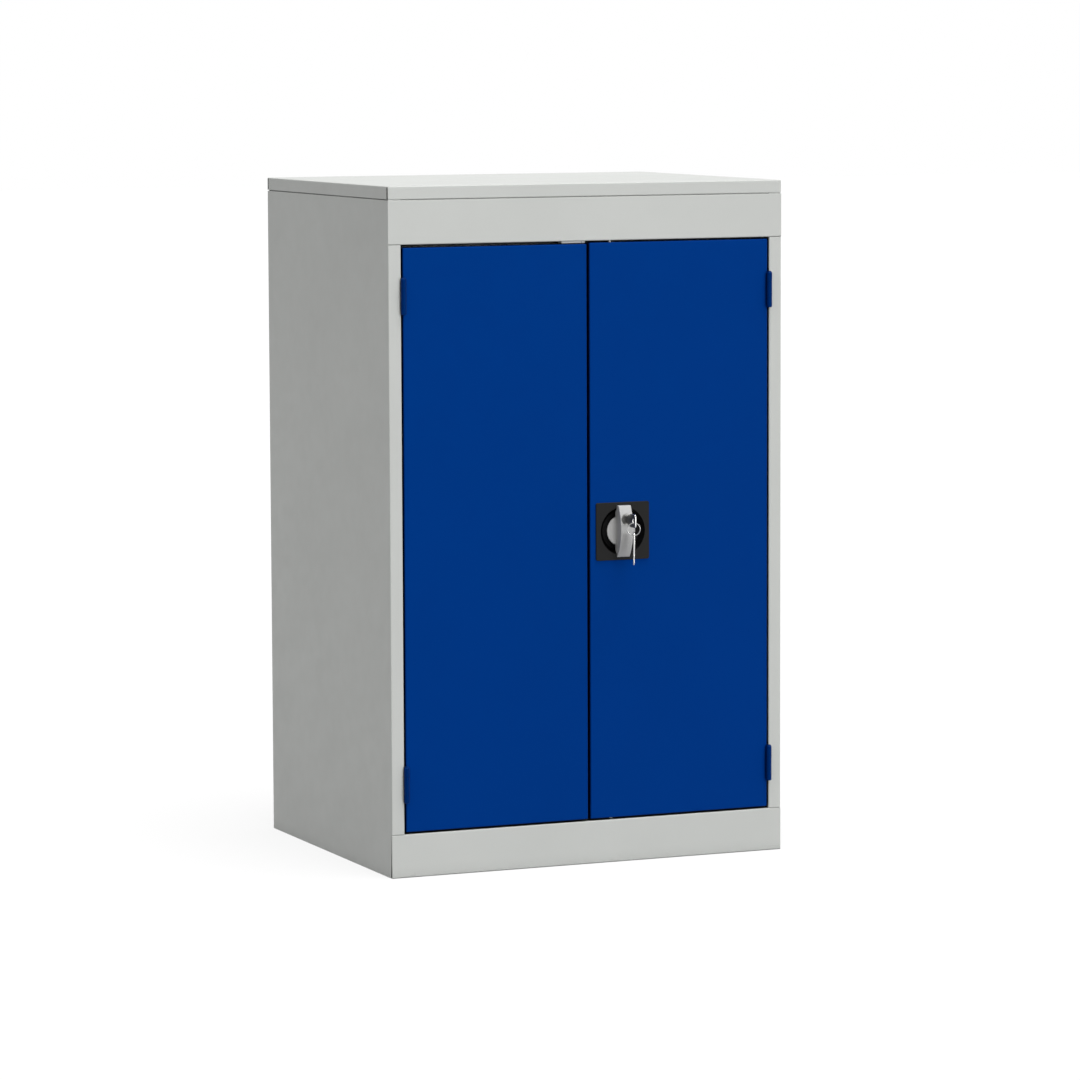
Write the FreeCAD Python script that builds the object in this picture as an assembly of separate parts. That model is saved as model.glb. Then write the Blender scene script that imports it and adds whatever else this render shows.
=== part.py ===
import FreeCAD, Part
import math
import os

# Sheet steel tool cabinet with two hinged doors, a swivel handle lock with two rods,
# two shelves on clips, and a lid. X runs to the right seen from the front, Y to the
# back and Z up. The origin is the middle of the footprint, on the floor.

# Body, over its outer faces
cabinet_width = 624.0
cabinet_depth = 500.0
cabinet_height = 1000.0
body_sheet = 1.0
fold_radius = 0.6
seam = 0.3
weld_gap = 0.1
overrun = 3.0

# Lid and what it sits on
lid_skirt = 18.5
lid_gap = 1.5
lid_corner_slit = 4.4
lid_edge_radius = 1.5
hem_depth = 15.0
roof_drop = 10.0
lug_height = 10.0

# Front frame
stile_width = 19.6
stile_lip = 7.6
header_height = 63.6
plinth_height = 63.6
floor_step = 15.0
stop_lip_height = 13.4
plinth_end_gap = 0.8
plinth_seam_top = 1.4
plinth_seam_bottom = 4.2
foot_flange = 15.0
rear_flange = 20.0

# Doors
door_depth = 20.0
door_sheet = 1.0
door_lip = 14.0
door_edge_radius = 1.5
door_side_gap = 3.0
door_centre_gap = 4.4
door_bottom_gap = 3.2
left_door_top_gap = 4.5
right_door_top_gap = 3.0
door_stiffener_width = 60.0
door_stiffener_flange = 12.0
door_stiffener_end_gap = 24.0
door_stiffener_back_gap = 2.0

# Rubber bumpers that the closed doors lie against
bumper_radius = 3.5
bumper_height = 2.0
bumper_gap = 0.3
bumper_meeting_inset = 57.8
bumper_hinge_inset = 29.4

# Hinges
hinge_inset = 2.0
barrel_radius = 4.1
barrel_gap = 0.5
barrel_chamfer = 1.2
hinge_length = 52.6
end_knuckle_length = 14.1
knuckle_gap = 0.3
top_hinge_drop = 47.6
bottom_hinge_rise = 46.3
right_hinge_drop = 3.6
leaf_thickness = 1.2
leaf_depth = 18.0
hinge_pin_radius = 2.0
hinge_pin_fit = 0.05
hinge_pin_head_radius = 2.9
hinge_pin_head_height = 1.0

# Magnetic catch of the left door, under the header's flange
catch_length = 37.0
catch_inset = 1.0
catch_height = 3.0
catch_depth = 13.0
catch_front_gap = 4.0
catch_groove_width = 1.2
catch_groove_depth = 2.0
catch_groove_place = 5.0
magnet_length = 26.0
magnet_depth = 8.0
magnet_height = 2.2

# Lock in the right door
lock_inset = 51.3
lock_rise = 0.5
plate_size = 85.0
plate_thickness = 2.3
plate_corner = 3.0
plate_edge = 0.5
tub_size = 76.0
tub_corner = 6.0
tub_clearance = 0.5
dish_radius = 35.5
dish_floor_radius = 29.5
dish_depth = 8.0
dish_floor = 2.8
bracket_width = 92.0
bracket_height = 100.0
bracket_sheet = 1.2
bracket_bore_gap = 0.5
bracket_screw_place = 33.0
bracket_screw_radius = 1.6
bracket_screw_head_radius = 3.2
bracket_screw_head = 2.0
bracket_screw_depth = 6.0
bracket_screw_hole_gap = 0.2

# Handle
disc_radius = 22.5
disc_thickness = 2.0
disc_edge = 0.6
disc_floor_gap = 0.3
spindle_radius = 8.0
spindle_fit = 0.05
drive_square = 6.0
drive_fit = 0.05
drive_short = 0.1
grip_length = 76.0
grip_width = 19.8
grip_peak_height = 15.7
grip_peak_place = 10.0
grip_top_height = 6.9
grip_bottom_height = 2.9
grip_clearance = 0.6
grip_web_length = 55.0
grip_web_shoulder = 6.0
grip_cove = 5.5
grip_edge = 0.8
cylinder_place = 18.0
cylinder_radius = 8.8
cylinder_fit = 0.05
cylinder_recess = 2.4
plug_radius = 6.5
plug_fit = 0.05
plug_stand = 0.3
plug_length = 17.0

# Cam, rods and their keepers
cam_gap = 0.5
cam_thickness = 1.8
cam_hub_radius = 8.0
cam_width = 10.0
crank_radius = 14.0
crank_start_deg = 45.0
crank_pin_radius = 2.5
crank_pin_length = 4.5
cam_screw_radius = 2.0
cam_screw_head_radius = 4.4
cam_screw_head = 2.4
cam_screw_length = 6.0
rod_radius = 2.5
rod_plate_gap = 0.5
rod_plate_thickness = 2.0
rod_plate_wall = 2.1
rod_plate_end_wall = 3.0
rod_plate_reach = 28.0
rod_plate_weld = 8.0
rod_arm_drop = 4.0
rod_arm_height = 8.0
rod_slot_gap = 0.4
rod_slot_rise = 0.55
rod_tip_gap = 0.4
rod_tip_chamfer = 0.5
rod_hole_gap = 0.9
keeper_length = 34.0
keeper_width = 16.0
keeper_thickness = 2.0
guide_radius = 4.4
guide_fit = 0.3
guide_length = 4.0
guide_flange_radius = 5.8
guide_flange = 1.6

# Keys and their ring
key_thickness = 2.0
key_length = 47.5
key_blade_length = 16.0
key_bow_length = 17.0
key_bow_half = 9.8
key_bow_corner = 4.5
key_neck_half = 4.6
key_blade_height = 8.2
key_hole_radius = 3.6
key_hole_edge = 6.8
key_shoulder_gap = 1.0
key_tooth_depth = 2.2
keyway_gap = 0.2
ring_radius = 9.1
ring_wire_radius = 0.65
ring_gap = 0.3
ring_turn_deg = 21.0

# Shelf uprights, clips and shelves
upright_depth = 12.0
upright_width = 30.0
upright_flange = 10.0
upright_sheet = 1.2
front_upright_place = 60.0
rear_upright_place = 50.0
upright_top_gap = 10.0
slot_width = 12.0
slot_height = 4.0
slot_pitch = 40.0
slot_margin = 50.0
clip_width = 11.0
clip_thickness = 2.0
clip_reach = 14.0
clip_hook_height = 3.0
clip_hook_thickness = 1.6
rivet_radius = 3.0
rivet_height = 1.2
rivet_edge = 0.5
rivet_margin = 90.0
rivet_count = 4
lower_shelf_slot = 6
upper_shelf_slot = 13
shelf_sheet = 1.0
shelf_height = 25.0
shelf_lip = 11.0
shelf_edge_radius = 1.5
shelf_side_gap = 3.0
shelf_front_setback = 45.0
shelf_back_gap = 12.0
shelf_stiffener_width = 40.0
shelf_stiffener_height = 15.0
shelf_stiffener_flange = 12.0
shelf_stiffener_end_gap = 4.0
floor_stiffener_height = 30.0

# Wall fixing holes in the back
wall_hole_radius = 4.25
wall_hole_spacing = 400.0
wall_hole_drop = 80.0

# Places that follow from the sizes above
half_width = cabinet_width / 2
front = -cabinet_depth / 2
back = cabinet_depth / 2
inner_side = half_width - body_sheet
body_top = cabinet_height - lid_skirt - lid_gap
opening_top = body_top - header_height
opening_bottom = plinth_height
floor_top = plinth_height + floor_step
roof_bottom = body_top - roof_drop
door_back = front + door_depth
stop_face = door_back + bumper_height + bumper_gap
stile_edge = half_width - stile_width
stile_back = stop_face - seam
back_panel_front = back - 2 * body_sheet

door_outer_edge = stile_edge - door_side_gap
door_inner_edge = door_centre_gap / 2
door_bottom = opening_bottom + door_bottom_gap
left_door_top = opening_top - left_door_top_gap
right_door_top = opening_top - right_door_top_gap

top_hinge_bottom = opening_top - top_hinge_drop - hinge_length
bottom_hinge_bottom = opening_bottom + bottom_hinge_rise
hinge_x = stile_edge - hinge_inset
hinge_y = front - barrel_gap - barrel_radius

lock_x = door_inner_edge + lock_inset
lock_height = (opening_bottom + opening_top) / 2 + lock_rise
plate_front = front - plate_thickness
dish_bottom = plate_front + dish_depth
tub_back = dish_bottom + dish_floor
bracket_back = tub_back + bracket_sheet
cam_front = bracket_back + cam_gap
cam_back = cam_front + cam_thickness
rod_plate_front = cam_back + rod_plate_gap
rod_plate_back = rod_plate_front + rod_plate_thickness
rod_y = rod_plate_front
rod_x = lock_x - crank_radius
crank_rise = crank_radius * math.sin(math.radians(crank_start_deg))
crank_side = crank_radius * math.cos(math.radians(crank_start_deg))

disc_back = dish_bottom - disc_floor_gap
disc_front = disc_back - disc_thickness
grip_peak = plate_front - grip_peak_height
cylinder_z = lock_height + cylinder_place
cylinder_front = grip_peak + cylinder_recess
plug_front = cylinder_front - plug_stand

upright_bottom = floor_top
upright_top = roof_bottom - upright_top_gap
front_upright_y = front + front_upright_place
rear_upright_y = back - rear_upright_place
slot_count = 1 + int((upright_top - upright_bottom - 2 * slot_margin) / slot_pitch)

shelf_half_width = inner_side - upright_depth - shelf_side_gap
shelf_front = front + shelf_front_setback
shelf_back = back_panel_front - shelf_back_gap


def vec(x, y, z):
    return FreeCAD.Vector(x, y, z)


def box(x0, x1, y0, y1, z0, z1):
    """A block between two corners, whichever of each pair is the larger."""
    low = vec(min(x0, x1), min(y0, y1), min(z0, z1))
    return Part.makeBox(abs(x1 - x0), abs(y1 - y0), abs(z1 - z0), low)


def rod_along_y(radius, x, z, y0, y1):
    return Part.makeCylinder(radius, y1 - y0, vec(x, y0, z), vec(0, 1, 0))


def rod_along_z(radius, x, y, z0, z1):
    return Part.makeCylinder(radius, z1 - z0, vec(x, y, z0), vec(0, 0, 1))


def plan_point(u, v, w):
    """Section in plan, drawn out upwards."""
    return vec(u, v, w)


def side_point(u, v, w):
    """Section seen from the side, u to the back and v up, drawn out to the right."""
    return vec(w, u, v)


def front_point(u, v, w):
    """Section seen from the front, u to the right and v up, drawn out to the back."""
    return vec(u, w, v)


def corner_arc(before, corner, after, radius):
    """Start, middle and end of the arc that rounds one corner of an outline."""
    ax, ay = before[0] - corner[0], before[1] - corner[1]
    bx, by = after[0] - corner[0], after[1] - corner[1]
    a, b = math.hypot(ax, ay), math.hypot(bx, by)
    ax, ay, bx, by = ax / a, ay / a, bx / b, by / b
    half = math.acos(max(-1, min(1, ax * bx + ay * by))) / 2
    reach = radius / math.tan(half)
    mx, my = ax + bx, ay + by
    m = math.hypot(mx, my)
    mid = radius / math.sin(half) - radius
    start = (corner[0] + ax * reach, corner[1] + ay * reach)
    middle = (corner[0] + mx / m * mid, corner[1] + my / m * mid)
    end = (corner[0] + bx * reach, corner[1] + by * reach)
    return start, middle, end


def drawn(points, radii, place, w0, w1):
    """A solid drawn from w0 to w1 out of an outline whose corners are rounded."""
    edges = []
    count = len(points)
    marks = []
    for i in range(count):
        if radii[i] > 0:
            marks.append(corner_arc(points[i - 1], points[i], points[(i + 1) % count], radii[i]))
        else:
            marks.append((points[i], None, points[i]))
    for i in range(count):
        start, middle, end = marks[i]
        if middle is not None:
            arc = Part.Arc(place(*start, w0), place(*middle, w0), place(*end, w0))
            edges.append(arc.toShape())
        following = marks[(i + 1) % count][0]
        edges.append(Part.LineSegment(place(*end, w0), place(*following, w0)).toShape())
    face = Part.Face(Part.Wire(edges))
    return face.extrude(place(0, 0, w1) - place(0, 0, w0))


def sheet_section(line, thickness):
    """Outline of a sheet folded along an open line, with its thickness on the line's left."""
    directions = []
    for (u0, v0), (u1, v1) in zip(line, line[1:]):
        length = math.hypot(u1 - u0, v1 - v0)
        directions.append(((u1 - u0) / length, (v1 - v0) / length))
    offset, line_radii, offset_radii = [], [], []
    for i, (u, v) in enumerate(line):
        d1 = directions[max(i - 1, 0)]
        d2 = directions[min(i, len(directions) - 1)]
        n1, n2 = (-d1[1], d1[0]), (-d2[1], d2[0])
        scale = thickness / (1 + n1[0] * n2[0] + n1[1] * n2[1])
        offset.append((u + (n1[0] + n2[0]) * scale, v + (n1[1] + n2[1]) * scale))
        turn = d1[0] * d2[1] - d1[1] * d2[0]
        inner, outer = fold_radius, fold_radius + thickness
        if i in (0, len(line) - 1):
            inner, outer = 0, 0
        line_radii.append(outer if turn > 0 else inner)
        offset_radii.append(inner if turn > 0 else outer)
    return line + offset[::-1], line_radii + offset_radii[::-1]


def folded(line, thickness, place, w0, w1):
    points, radii = sheet_section(line, thickness)
    return drawn(points, radii, place, w0, w1)


def joined(shapes):
    """Several touching pieces of one sheet as one solid with its seams cleaned."""
    return shapes[0].fuse(shapes[1:]).removeSplitter()


def group(shapes):
    """Separate solids that share one node."""
    return Part.makeCompound(shapes)


def mirrored(shape):
    """The same piece on the other side of the cabinet's middle."""
    return shape.mirror(vec(0, 0, 0), vec(1, 0, 0))


def on_plane(edge, axis, place):
    return all(abs(v.Point[axis] - place) < seam / 10 for v in edge.Vertexes)


def along(edge, axis):
    a, b = edge.Vertexes[0].Point, edge.Vertexes[-1].Point
    return abs(abs((b - a)[axis]) - edge.Length) < seam / 10


def tray(x0, x1, y0, y1, z0, z1, axis, face, radius):
    """A block with the edges round one face, and the corners beside it, rounded."""
    block = box(x0, x1, y0, y1, z0, z1)
    edges = [e for e in block.Edges if on_plane(e, axis, face) or along(e, axis)]
    return block.makeFillet(radius, edges)


def side_panel():
    """Left side: one sheet with its front stile, rear flange and top hem folded on."""
    x = -half_width
    rear = [(x + rear_flange, back), (x, back)]
    stile_x = -stile_edge
    stile = [(x, front), (stile_x, front), (stile_x, stile_back), (stile_x - stile_lip, stile_back)]
    seam_top = (front + body_sheet + plinth_seam_top, opening_bottom + seam)
    seam_bottom = (front + body_sheet + plinth_seam_bottom, 0)
    plinth_end = [(x, seam_top[0])]
    plinth_zone = folded(rear + plinth_end, body_sheet, plan_point, 0, seam_top[1])
    wedge_line = [seam_top, seam_bottom, (front, 0), (front, seam_top[1])]
    flat = [0] * len(wedge_line)
    wedge = drawn(wedge_line, flat, side_point, x - overrun, x + overrun)
    plinth_zone = plinth_zone.cut(wedge)
    stile_zone = folded(
        rear + stile, body_sheet, plan_point, opening_bottom + seam, opening_top - seam
    )
    header_zone = folded(
        rear + [(x, front + body_sheet)], body_sheet, plan_point, opening_top - seam, body_top
    )
    hem = box(
        -inner_side,
        -inner_side + body_sheet,
        front + 2 * body_sheet,
        back_panel_front,
        body_top - hem_depth,
        body_top,
    )
    return joined([plinth_zone, stile_zone, header_zone, hem])


def back_panel():
    """Flat sheet behind the body, with two holes for fixing to a wall."""
    half = inner_side - fold_radius
    sheet = box(-half, half, back_panel_front, back - body_sheet, 0, body_top - body_sheet)
    for x in (-wall_hole_spacing / 2, wall_hole_spacing / 2):
        hole = rod_along_y(
            wall_hole_radius, x, body_top - wall_hole_drop, back_panel_front - overrun, back + overrun
        )
        sheet = sheet.cut(hole)
    return sheet


def base_pan():
    """Plinth, door rebate, floor and rear skirt folded from one sheet, with two end skirts.

    The plinth's front runs the whole width, and what is behind it ends inside the side panels.
    """
    half = inner_side - plinth_end_gap
    line = [
        (front + foot_flange, 0),
        (front, 0),
        (front, plinth_height),
        (stop_face, plinth_height),
        (stop_face, floor_top),
        (back_panel_front, floor_top),
        (back_panel_front, 0),
        (back_panel_front - foot_flange, 0),
    ]
    pan = folded(line[::-1], body_sheet, side_point, -half_width, half_width)
    for side in (-1, 1):
        end = box(
            side * half,
            side * (half_width + overrun),
            front + body_sheet,
            back + overrun,
            -overrun,
            floor_top + overrun,
        )
        pan = pan.cut(end)
    end_line = [
        (front + body_sheet, 0),
        (front + body_sheet, plinth_height - body_sheet),
        (stop_face + body_sheet, plinth_height - body_sheet),
        (stop_face + body_sheet, floor_top - body_sheet),
        (back_panel_front - body_sheet, floor_top - body_sheet),
        (back_panel_front - body_sheet, 0),
    ]
    flat = [0] * len(end_line)
    ends = [
        drawn(end_line, flat, side_point, -half, -half + body_sheet),
        drawn(end_line, flat, side_point, half - body_sheet, half),
    ]
    hole = rod_along_z(
        rod_radius + rod_hole_gap, rod_x, rod_y, plinth_height - overrun, plinth_height + overrun
    )
    return joined([pan] + ends).cut(hole)


def header_rail():
    """Band over the doors with the rebate flange, the door stop, a hem and two lid lugs."""
    lip_bottom = opening_top - stop_lip_height
    outer = fold_radius + body_sheet
    front_back = front + body_sheet
    hem_back = front + 2 * body_sheet
    hem_bottom = body_top - hem_depth
    points = [
        (stop_face, lip_bottom),
        (stop_face, opening_top),
        (front, opening_top),
        (front, body_top),
        (hem_back, body_top),
        (hem_back, hem_bottom),
        (front_back, hem_bottom),
        (front_back, opening_top + body_sheet),
        (stop_face + body_sheet, opening_top + body_sheet),
        (stop_face + body_sheet, lip_bottom),
    ]
    radii = [0, fold_radius, outer, body_sheet / 2, body_sheet / 2, 0, 0, fold_radius, outer, 0]
    rail = drawn(points, radii, side_point, -half_width, half_width)
    for side in (-1, 1):
        end = box(
            side * (inner_side - weld_gap),
            side * (half_width + overrun),
            front_back,
            stop_face + overrun,
            lip_bottom - overrun,
            body_top + overrun,
        )
        rail = rail.cut(end)
    lugs = []
    for side in (-1, 1):
        lug = box(
            side * stile_edge,
            side * (inner_side - weld_gap),
            front_back,
            hem_back,
            body_top - hem_depth,
            body_top + lug_height,
        )
        lugs.append(lug)
    hole = rod_along_z(
        rod_radius + rod_hole_gap, rod_x, rod_y, opening_top - overrun, opening_top + overrun
    )
    return joined([rail] + lugs).cut(hole)


def roof_panel():
    """Shallow tray under the lid, its turned up edges carrying the lid's top."""
    half = inner_side - body_sheet
    y0, y1 = front + 2 * body_sheet, back_panel_front
    lid_underside = cabinet_height - body_sheet
    block = box(-half, half, y0, y1, roof_bottom, lid_underside)
    inner = box(
        -half + body_sheet,
        half - body_sheet,
        y0 + body_sheet,
        y1 - body_sheet,
        roof_bottom + body_sheet,
        lid_underside + overrun,
    )
    return block.cut(inner)


def top_cover():
    """Lid with a skirt all round, open at its four folded corners."""
    block = tray(
        -half_width,
        half_width,
        front,
        back,
        body_top + lid_gap,
        cabinet_height,
        2,
        cabinet_height,
        lid_edge_radius,
    )
    inner = box(
        -inner_side,
        inner_side,
        front + body_sheet,
        back - body_sheet,
        body_top + lid_gap - overrun,
        cabinet_height - body_sheet,
    )
    lid = block.cut(inner)
    for side in (-1, 1):
        for edge in (front, back):
            inward = 1 if edge == front else -1
            slit = box(
                side * inner_side,
                side * (half_width + overrun),
                edge + inward * body_sheet,
                edge + inward * (body_sheet + lid_corner_slit),
                body_top + lid_gap - overrun,
                cabinet_height - lid_edge_radius,
            )
            lid = lid.cut(slit)
    return lid


def floor_stiffener():
    """Hat channel welded under the floor."""
    half = inner_side - plinth_end_gap - body_sheet - shelf_stiffener_end_gap
    return hat_along_x(half, 0, floor_top - body_sheet, floor_stiffener_height)


def hat_along_x(half, y, top, height):
    """Hat channel under a sheet, drawn across the cabinet."""
    w = shelf_stiffener_width / 2
    line = [
        (y - w - shelf_stiffener_flange, top),
        (y - w, top),
        (y - w, top - height),
        (y + w, top - height),
        (y + w, top),
        (y + w + shelf_stiffener_flange, top),
    ]
    return folded(line[::-1], body_sheet, side_point, -half, half)


def upright(y):
    """Left upright: a perforated hat channel on the side panel."""
    x0 = -inner_side + upright_sheet
    x1 = -inner_side + upright_depth
    w = upright_width / 2
    line = [
        (x0, y - w - upright_flange),
        (x0, y - w),
        (x1, y - w),
        (x1, y + w),
        (x0, y + w),
        (x0, y + w + upright_flange),
    ]
    channel = folded(line, upright_sheet, plan_point, upright_bottom, upright_top)
    slots = []
    for i in range(slot_count):
        z = slot_bottom(i)
        slots.append(
            box(
                x1 - upright_sheet - overrun,
                x1 + overrun,
                y - slot_width / 2,
                y + slot_width / 2,
                z,
                z + slot_height,
            )
        )
    return channel.cut(slots)


def slot_bottom(index):
    return upright_bottom + slot_margin + index * slot_pitch


def shelf_clips(index):
    """Four clips hooked into the uprights at one height."""
    z = slot_bottom(index)
    x_face = -inner_side + upright_depth
    x_inner = x_face - upright_sheet
    clips = []
    for y in (front_upright_y, rear_upright_y):
        y0, y1 = y - clip_width / 2, y + clip_width / 2
        tongue = box(
            x_inner - clip_hook_thickness, x_face + clip_reach, y0, y1, z, z + clip_thickness
        )
        hook = box(
            x_inner - clip_hook_thickness,
            x_inner,
            y0,
            y1,
            z,
            z + clip_thickness + clip_hook_height,
        )
        clip = joined([tongue, hook])
        clips += [clip, mirrored(clip)]
    return group(clips)


def upright_rivets():
    """Rivet heads on the flanges of the four uprights."""
    x = -inner_side + upright_sheet
    span = upright_top - upright_bottom - 2 * rivet_margin
    rivets = []
    for y in (front_upright_y, rear_upright_y):
        for i in range(rivet_count):
            z = upright_bottom + rivet_margin + span * i / (rivet_count - 1)
            side = 1 if i % 2 else -1
            at = y + side * (upright_width / 2 + upright_flange / 2)
            head = Part.makeCylinder(rivet_radius, rivet_height, vec(x, at, z), vec(1, 0, 0))
            rim = [e for e in head.Edges if on_plane(e, 0, x + rivet_height)]
            head = head.makeChamfer(rivet_edge, rim)
            rivets += [head, mirrored(head)]
    return group(rivets)


def shelf(index):
    """Folded shelf tray resting on its clips, with lips turned in under it."""
    z0 = slot_bottom(index) + clip_thickness
    z1 = z0 + shelf_height
    block = tray(
        -shelf_half_width,
        shelf_half_width,
        shelf_front,
        shelf_back,
        z0,
        z1,
        2,
        z1,
        shelf_edge_radius,
    )
    hollow = box(
        -shelf_half_width + shelf_sheet,
        shelf_half_width - shelf_sheet,
        shelf_front + shelf_sheet,
        shelf_back - shelf_sheet,
        z0 + shelf_sheet,
        z1 - shelf_sheet,
    )
    mouth = box(
        -shelf_half_width + shelf_lip,
        shelf_half_width - shelf_lip,
        shelf_front + shelf_lip,
        shelf_back - shelf_lip,
        z0 - overrun,
        z0 + shelf_sheet + overrun,
    )
    return block.cut([hollow, mouth])


def shelf_stiffener(index):
    half = shelf_half_width - shelf_sheet - shelf_stiffener_end_gap
    top = slot_bottom(index) + clip_thickness + shelf_height - shelf_sheet
    middle = (shelf_front + shelf_back) / 2
    return hat_along_x(half, middle, top, shelf_stiffener_height)


def door_bumpers():
    """Rubber buttons on the door stop over and under the doors."""
    buttons = []
    overlap_bottom = opening_top - stop_lip_height
    top_z = (overlap_bottom + left_door_top) / 2
    bottom_z = (door_bottom + floor_top) / 2
    for x in (door_inner_edge + bumper_meeting_inset, door_outer_edge - bumper_hinge_inset):
        for z in (top_z, bottom_z):
            button = rod_along_y(bumper_radius, x, z, stop_face - bumper_height, stop_face)
            buttons += [button, mirrored(button)]
    return group(buttons)


def door_panel(x0, x1, top):
    """Door skin with its four edges folded back and lips turned in."""
    block = tray(x0, x1, front, door_back, door_bottom, top, 1, front, door_edge_radius)
    hollow = box(
        x0 + door_sheet,
        x1 - door_sheet,
        front + door_sheet,
        door_back - door_sheet,
        door_bottom + door_sheet,
        top - door_sheet,
    )
    mouth = box(
        x0 + door_lip,
        x1 - door_lip,
        door_back - door_sheet - overrun,
        door_back + overrun,
        door_bottom + door_lip,
        top - door_lip,
    )
    return block.cut([hollow, mouth])


def left_door_panel():
    return door_panel(-door_outer_edge, -door_inner_edge, left_door_top)


def right_door_panel():
    """Right door with the square hole for the lock and a hole for each rod guide."""
    panel = door_panel(door_inner_edge, door_outer_edge, right_door_top)
    half = tub_size / 2 + tub_clearance
    lock_hole = rounded_block(half, tub_corner, front - overrun, front + door_sheet + overrun)
    holes = [lock_hole]
    for z in (door_bottom, right_door_top):
        holes.append(rod_along_z(guide_radius, rod_x, rod_y, z - overrun, z + overrun))
    return panel.cut(holes)


def rounded_block(half, corner, y0, y1):
    """A square block with round corners, centred on the lock."""
    points = [
        (lock_x - half, lock_height - half),
        (lock_x + half, lock_height - half),
        (lock_x + half, lock_height + half),
        (lock_x - half, lock_height + half),
    ]
    return drawn(points, [corner] * len(points), front_point, y0, y1)


def door_stiffener(middle, top):
    """Upright hat channel on the inside of a door skin."""
    w = door_stiffener_width / 2
    skin = front + door_sheet
    web = door_back - door_stiffener_back_gap
    line = [
        (middle - w - door_stiffener_flange, skin),
        (middle - w, skin),
        (middle - w, web),
        (middle + w, web),
        (middle + w, skin),
        (middle + w + door_stiffener_flange, skin),
    ]
    inset = [(u, v + door_sheet if v == skin else v) for u, v in line]
    bottom = door_bottom + door_stiffener_end_gap
    return folded(inset[::-1], door_sheet, plan_point, bottom, top - door_stiffener_end_gap)


def knuckle(z0, z1):
    return rod_along_z(barrel_radius, -hinge_x, hinge_y, z0, z1)


def leaf(x0, x1, hinge_bottom, spans, bore_radius):
    """A hinge leaf in the gap beside the door, with a web out to each of its own knuckles."""
    top = hinge_bottom + hinge_length
    pieces = [box(x0, x1, front, front + leaf_depth, hinge_bottom, top)]
    for low, high in spans:
        pieces.append(box(x0, x1, hinge_y, front + leaf_depth, low, high))
        pieces.append(knuckle(low, high))
    bore = rod_along_z(bore_radius, -hinge_x, hinge_y, hinge_bottom - overrun, top + overrun)
    return joined(pieces).cut(bore)


def hinge_frame_leaf(hinge_bottom):
    """Leaf on the left stile, with the knuckles at both ends."""
    top = hinge_bottom + hinge_length
    spans = [(hinge_bottom, hinge_bottom + end_knuckle_length), (top - end_knuckle_length, top)]
    body = leaf(-stile_edge, -stile_edge + leaf_thickness, hinge_bottom, spans, hinge_pin_radius)
    return chamfer_rim(chamfer_rim(body, hinge_bottom), top)


def hinge_door_leaf(hinge_bottom):
    """Leaf on the left door's edge, with the middle knuckle."""
    low = hinge_bottom + end_knuckle_length + knuckle_gap
    high = hinge_bottom + hinge_length - end_knuckle_length - knuckle_gap
    edge = -door_outer_edge
    radius = hinge_pin_radius + hinge_pin_fit
    return leaf(edge - leaf_thickness, edge, hinge_bottom, [(low, high)], radius)


def chamfer_rim(body, z):
    """Break the outer edge of the knuckle's end at one height."""
    rims = []
    for edge in body.Edges:
        curve = edge.Curve
        if not isinstance(curve, Part.Circle) or not on_plane(edge, 2, z):
            continue
        if abs(curve.Radius - barrel_radius) < seam:
            rims.append(edge)
    return body.makeChamfer(barrel_chamfer, rims)


def hinge_pin(hinge_bottom):
    """Headed pin through both knuckles of a left hinge."""
    top = hinge_bottom + hinge_length
    shank = rod_along_z(hinge_pin_radius, -hinge_x, hinge_y, hinge_bottom, top)
    head = rod_along_z(
        hinge_pin_head_radius, -hinge_x, hinge_y, top, top + hinge_pin_head_height
    )
    rim = [e for e in head.Edges if on_plane(e, 2, top + hinge_pin_head_height)]
    head = head.makeFillet(hinge_pin_head_height / 2, rim)
    return joined([shank, head])


def catch_middle():
    """Middle of the catch in plan."""
    return -door_inner_edge - catch_inset - catch_length / 2, front + catch_front_gap + catch_depth / 2


def catch_housing():
    """Flat housing under the header's flange, grooved at one end, with a pocket for the magnet."""
    x, y = catch_middle()
    bottom = opening_top - catch_height
    housing = box(
        x - catch_length / 2,
        x + catch_length / 2,
        y - catch_depth / 2,
        y + catch_depth / 2,
        bottom,
        opening_top,
    )
    groove_x = x + catch_length / 2 - catch_groove_place
    groove = box(
        groove_x - catch_groove_width,
        groove_x,
        y - catch_depth / 2 - overrun,
        y - catch_depth / 2 + catch_groove_depth,
        bottom - overrun,
        opening_top,
    )
    pocket = magnet_block(x, y, bottom - overrun, bottom + magnet_height)
    return housing.cut([groove, pocket])


def magnet_block(x, y, z0, z1):
    return box(
        x - magnet_length / 2, x + magnet_length / 2, y - magnet_depth / 2, y + magnet_depth / 2, z0, z1
    )


def catch_magnet():
    """Magnet that grips the left door's folded top edge."""
    x, y = catch_middle()
    bottom = opening_top - catch_height
    return magnet_block(x, y, bottom, bottom + magnet_height)


def lock_escutcheon():
    """Square plate with a round sunk dish, its back standing through the door."""
    plate = rounded_block(plate_size / 2, plate_corner, plate_front, front)
    rim = [e for e in plate.Edges if on_plane(e, 1, plate_front)]
    plate = plate.makeChamfer(plate_edge, rim)
    tub = rounded_block(tub_size / 2, tub_corner, front, tub_back)
    body = joined([plate, tub])
    dish = Part.makeCone(
        dish_radius, dish_floor_radius, dish_depth, vec(lock_x, plate_front, lock_height),
        vec(0, 1, 0)
    )
    bore = rod_along_y(
        spindle_radius + spindle_fit, lock_x, lock_height, plate_front, tub_back + overrun
    )
    screws = [
        rod_along_y(bracket_screw_radius, x, z, tub_back - bracket_screw_depth, tub_back + overrun)
        for x, z in bracket_screw_places()
    ]
    return body.cut([dish, bore] + screws)


def bracket_screw_places():
    return [
        (lock_x + a * bracket_screw_place, lock_height + b * bracket_screw_place)
        for a in (-1, 1)
        for b in (-1, 1)
    ]


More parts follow.
